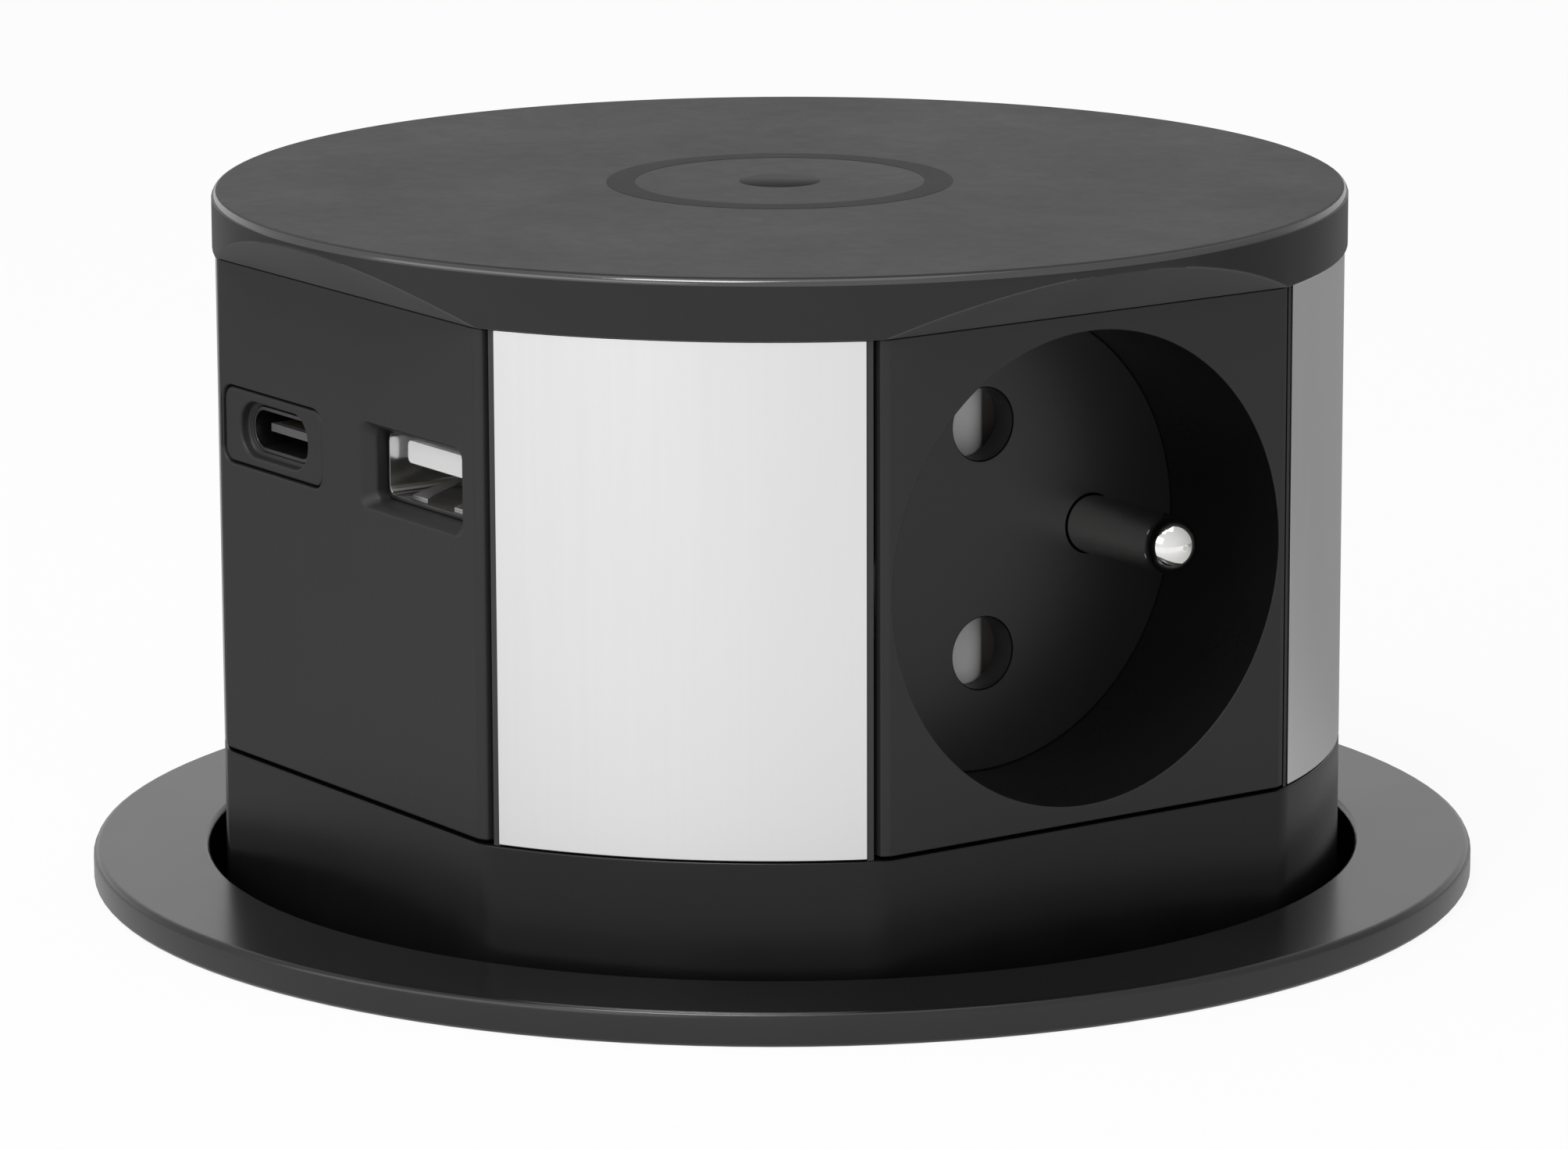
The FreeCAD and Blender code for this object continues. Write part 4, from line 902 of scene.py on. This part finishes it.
def make_floor():
    """A pale worktop with a round cut-out, white to the camera but keeping the shadow."""
    finish = Finish("pale_worktop", Roughness=0.6, Specular_IOR_Level=0.2)
    speckle = finish.noise(3 * MM, 2.0)
    finish.give("Base Color", finish.colours(speckle, grey(0.80), grey(0.83)))
    seen = finish.node("ShaderNodeLightPath", out="Is Camera Ray")
    mirrored = finish.node("ShaderNodeLightPath", out="Is Glossy Ray")
    through = finish.node("ShaderNodeLightPath", out="Is Transmission Ray")
    side = finish.node("ShaderNodeVectorMath", {"operation": "DOT_PRODUCT"},
                       {0: finish.place(), 1: FLOOR_BRIGHT_SIDE}, out="Value")
    fall = side.ramp(*FLOOR_FALL)
    tone = finish.colours((1 - seen) * (1 - fall), (1, 1, 1), grey(FLOOR_DIM))
    glow = finish.node("ShaderNodeEmission", None, {"Color": tone, "Strength": 1.0})
    blend = finish.node("ShaderNodeMixShader", None,
                        {0: (seen + mirrored + through) * FLOOR_WHITENESS,
                         1: Tone(finish, finish.shader.outputs[0]), 2: glow})
    finish.feed(finish.output.inputs["Surface"], blend)

    def code(work):
        inner = BARREL_RADIUS + CUT_OUT_GAP
        ring_of(work, [(inner, WORKTOP - FLOOR_THICK), (FLOOR_RADIUS, WORKTOP - FLOOR_THICK),
                       (FLOOR_RADIUS, WORKTOP), (inner, WORKTOP)], segments=128)

    floor = piece_from("worktop", code)
    paint(floor, finish.material)


def make_world():
    """White behind the object; for its light, a soft room that is brighter on one side."""
    world = bpy.data.worlds.new("studio")
    bpy.context.scene.world = world
    world.use_nodes = True
    world.node_tree.nodes.clear()
    room = Nodes(world.node_tree)
    way = room.node("ShaderNodeTexCoord", out="Generated")
    height = room.node("ShaderNodeSeparateXYZ", None, {0: way}, out="Z")
    side = room.node("ShaderNodeVectorMath", {"operation": "DOT_PRODUCT"}, {0: way, 1: BRIGHT_SIDE},
                     out="Value")
    behind = room.node("ShaderNodeVectorMath", {"operation": "DOT_PRODUCT"},
                       {0: way, 1: BACKDROP_SIDE}, out="Value")
    backdrop = behind.band(*BACKDROP_SPREAD) * (1 - height.band(*BACKDROP_FADE))
    level = ROOM_DIM + (side * 0.5 + 0.5) * (ROOM_BRIGHT - ROOM_DIM) + backdrop * BACKDROP_LIGHT
    soft = room.node("ShaderNodeBackground", None, {"Color": (1, 1, 1, 1), "Strength": level})
    white = room.node("ShaderNodeBackground", None, {"Color": (1, 1, 1, 1), "Strength": 1.0})
    seen = room.node("ShaderNodeLightPath", out="Is Camera Ray")
    mirrored = room.node("ShaderNodeLightPath", out="Is Glossy Ray")
    through = room.node("ShaderNodeLightPath", out="Is Transmission Ray")
    blend = room.node("ShaderNodeMixShader", None,
                      {0: seen + (mirrored + through) * MIRRORED_WHITE, 1: soft, 2: white})
    room.node("ShaderNodeOutputWorld", None, {"Surface": blend}, out=None)


LAMP_DISTANCE = 1.0
LAMP_AIM = Vector((0, 0, 0.03))


def soft_light(name, azimuth, elevation, width, height, power):
    """A rectangular lamp that looks at the tower, placed by its bearing from the front."""
    data = bpy.data.lights.new(name, "AREA")
    data.shape = "RECTANGLE"
    data.size = width
    data.size_y = height
    data.energy = power
    lamp = bpy.data.objects.new(name, data)
    bpy.context.scene.collection.objects.link(lamp)
    back = bearing_from_front(math.radians(azimuth), math.radians(elevation))
    lamp.location = LAMP_AIM + back * LAMP_DISTANCE
    lamp.rotation_mode = "QUATERNION"
    lamp.rotation_quaternion = back.to_track_quat("Z", "Y")


def make_lights():
    soft_light("left_bank", azimuth=-88, elevation=26, width=1.3, height=0.42, power=2.6)
    soft_light("key_left", azimuth=-62, elevation=62, width=0.35, height=0.35, power=4.0)
    soft_light("top", azimuth=-35, elevation=84, width=0.8, height=0.8, power=1.5)


body_of = {node: body for body, nodes in frame["record"]["behaviour"]["bodies"].items()
           for node in nodes}
slot_of = {part["node"]: part["material_slot"] for part in frame["record"]["subparts"]}
finishes = {**make_slot_finishes(), **make_own_finishes()}

# How far each piece's edges are rounded, and in how many steps where it isn't the usual number
SMALL_EDGE = 0.08 * MM
EDGE_STEPS = 2
ROUNDING = {"cap": 0.18 * MM, "tower_base": 0.2 * MM, "flanged_barrel": 0.12 * MM,
            "clamp_nut": 0.2 * MM, "floor_cover": 0.2 * MM, "corner_panel_1": 0.12 * MM,
            "corner_panel_2": 0.12 * MM, "corner_panel_3": 0.12 * MM, "corner_panel_4": 0.12 * MM,
            "socket_insert_1": 0.1 * MM, "socket_insert_2": 0.1 * MM, "socket_insert_3": 0.1 * MM,
            "usb_insert": 0.18 * MM, "usb_c_bezel": 0.28 * MM, "tower_frame": 0.05 * MM,
            "usb_c_port": 0.03 * MM, "usb_a_port": 0.03 * MM, "usb_c_tongue": 0.03 * MM,
            "usb_a_tongue": 0.03 * MM}
MORE_STEPS = {"cap": 3, "usb_c_bezel": 3}

# What else is done to single nodes
CHANGES = {"usb_insert": round_recess, "usb_a_port": round_recess, "usb_a_tongue": round_tongue,
           "floor_screws": screw_recess, "tower_screws": screw_recess}
OTHER_FINISH = {"flanged_barrel": "flange", "usb_c_port": "dark_shell", "cap": "rim"}
ZONES = {"cap": [(finishes["cap_finish"], on_cap_top), (finishes["edge"], on_cap_edge),
                 (finishes["underside"], under_cap)],
         "usb_a_port": [(finishes["dark_shell"], on_shell_lip)],
         "usb_board": [(finishes["hidden_moulding"], on_board_edge)]}
for number, bearing in (("1", -90), ("2", 0), ("3", 90)):
    CHANGES["shutter_" + number] = soft_nose(bearing)
    # Each socket's well, its floor and the rounding between them take darker finishes, which are painted shade.
    ZONES["socket_insert_" + number] = [(finishes["well"], in_well(bearing, WELL_STARTS)),
                                        (finishes["well_floor"], in_well(bearing, FLOOR_STARTS)),
                                        (finishes["well_corner"], in_well_corner(bearing))]

make_camera()
for node, slot in slot_of.items():
    if node != "lift_spring":
        dress(node, ROUNDING.get(node, SMALL_EDGE), MORE_STEPS.get(node, EDGE_STEPS),
              finishes[OTHER_FINISH.get(node, slot)], CHANGES.get(node), ZONES.get(node, ()))
make_charge_mark()
make_thread()
make_spring()
make_port_contacts()
make_floor()
make_world()
make_lights()
bpy.context.scene.view_settings.view_transform = "Standard"
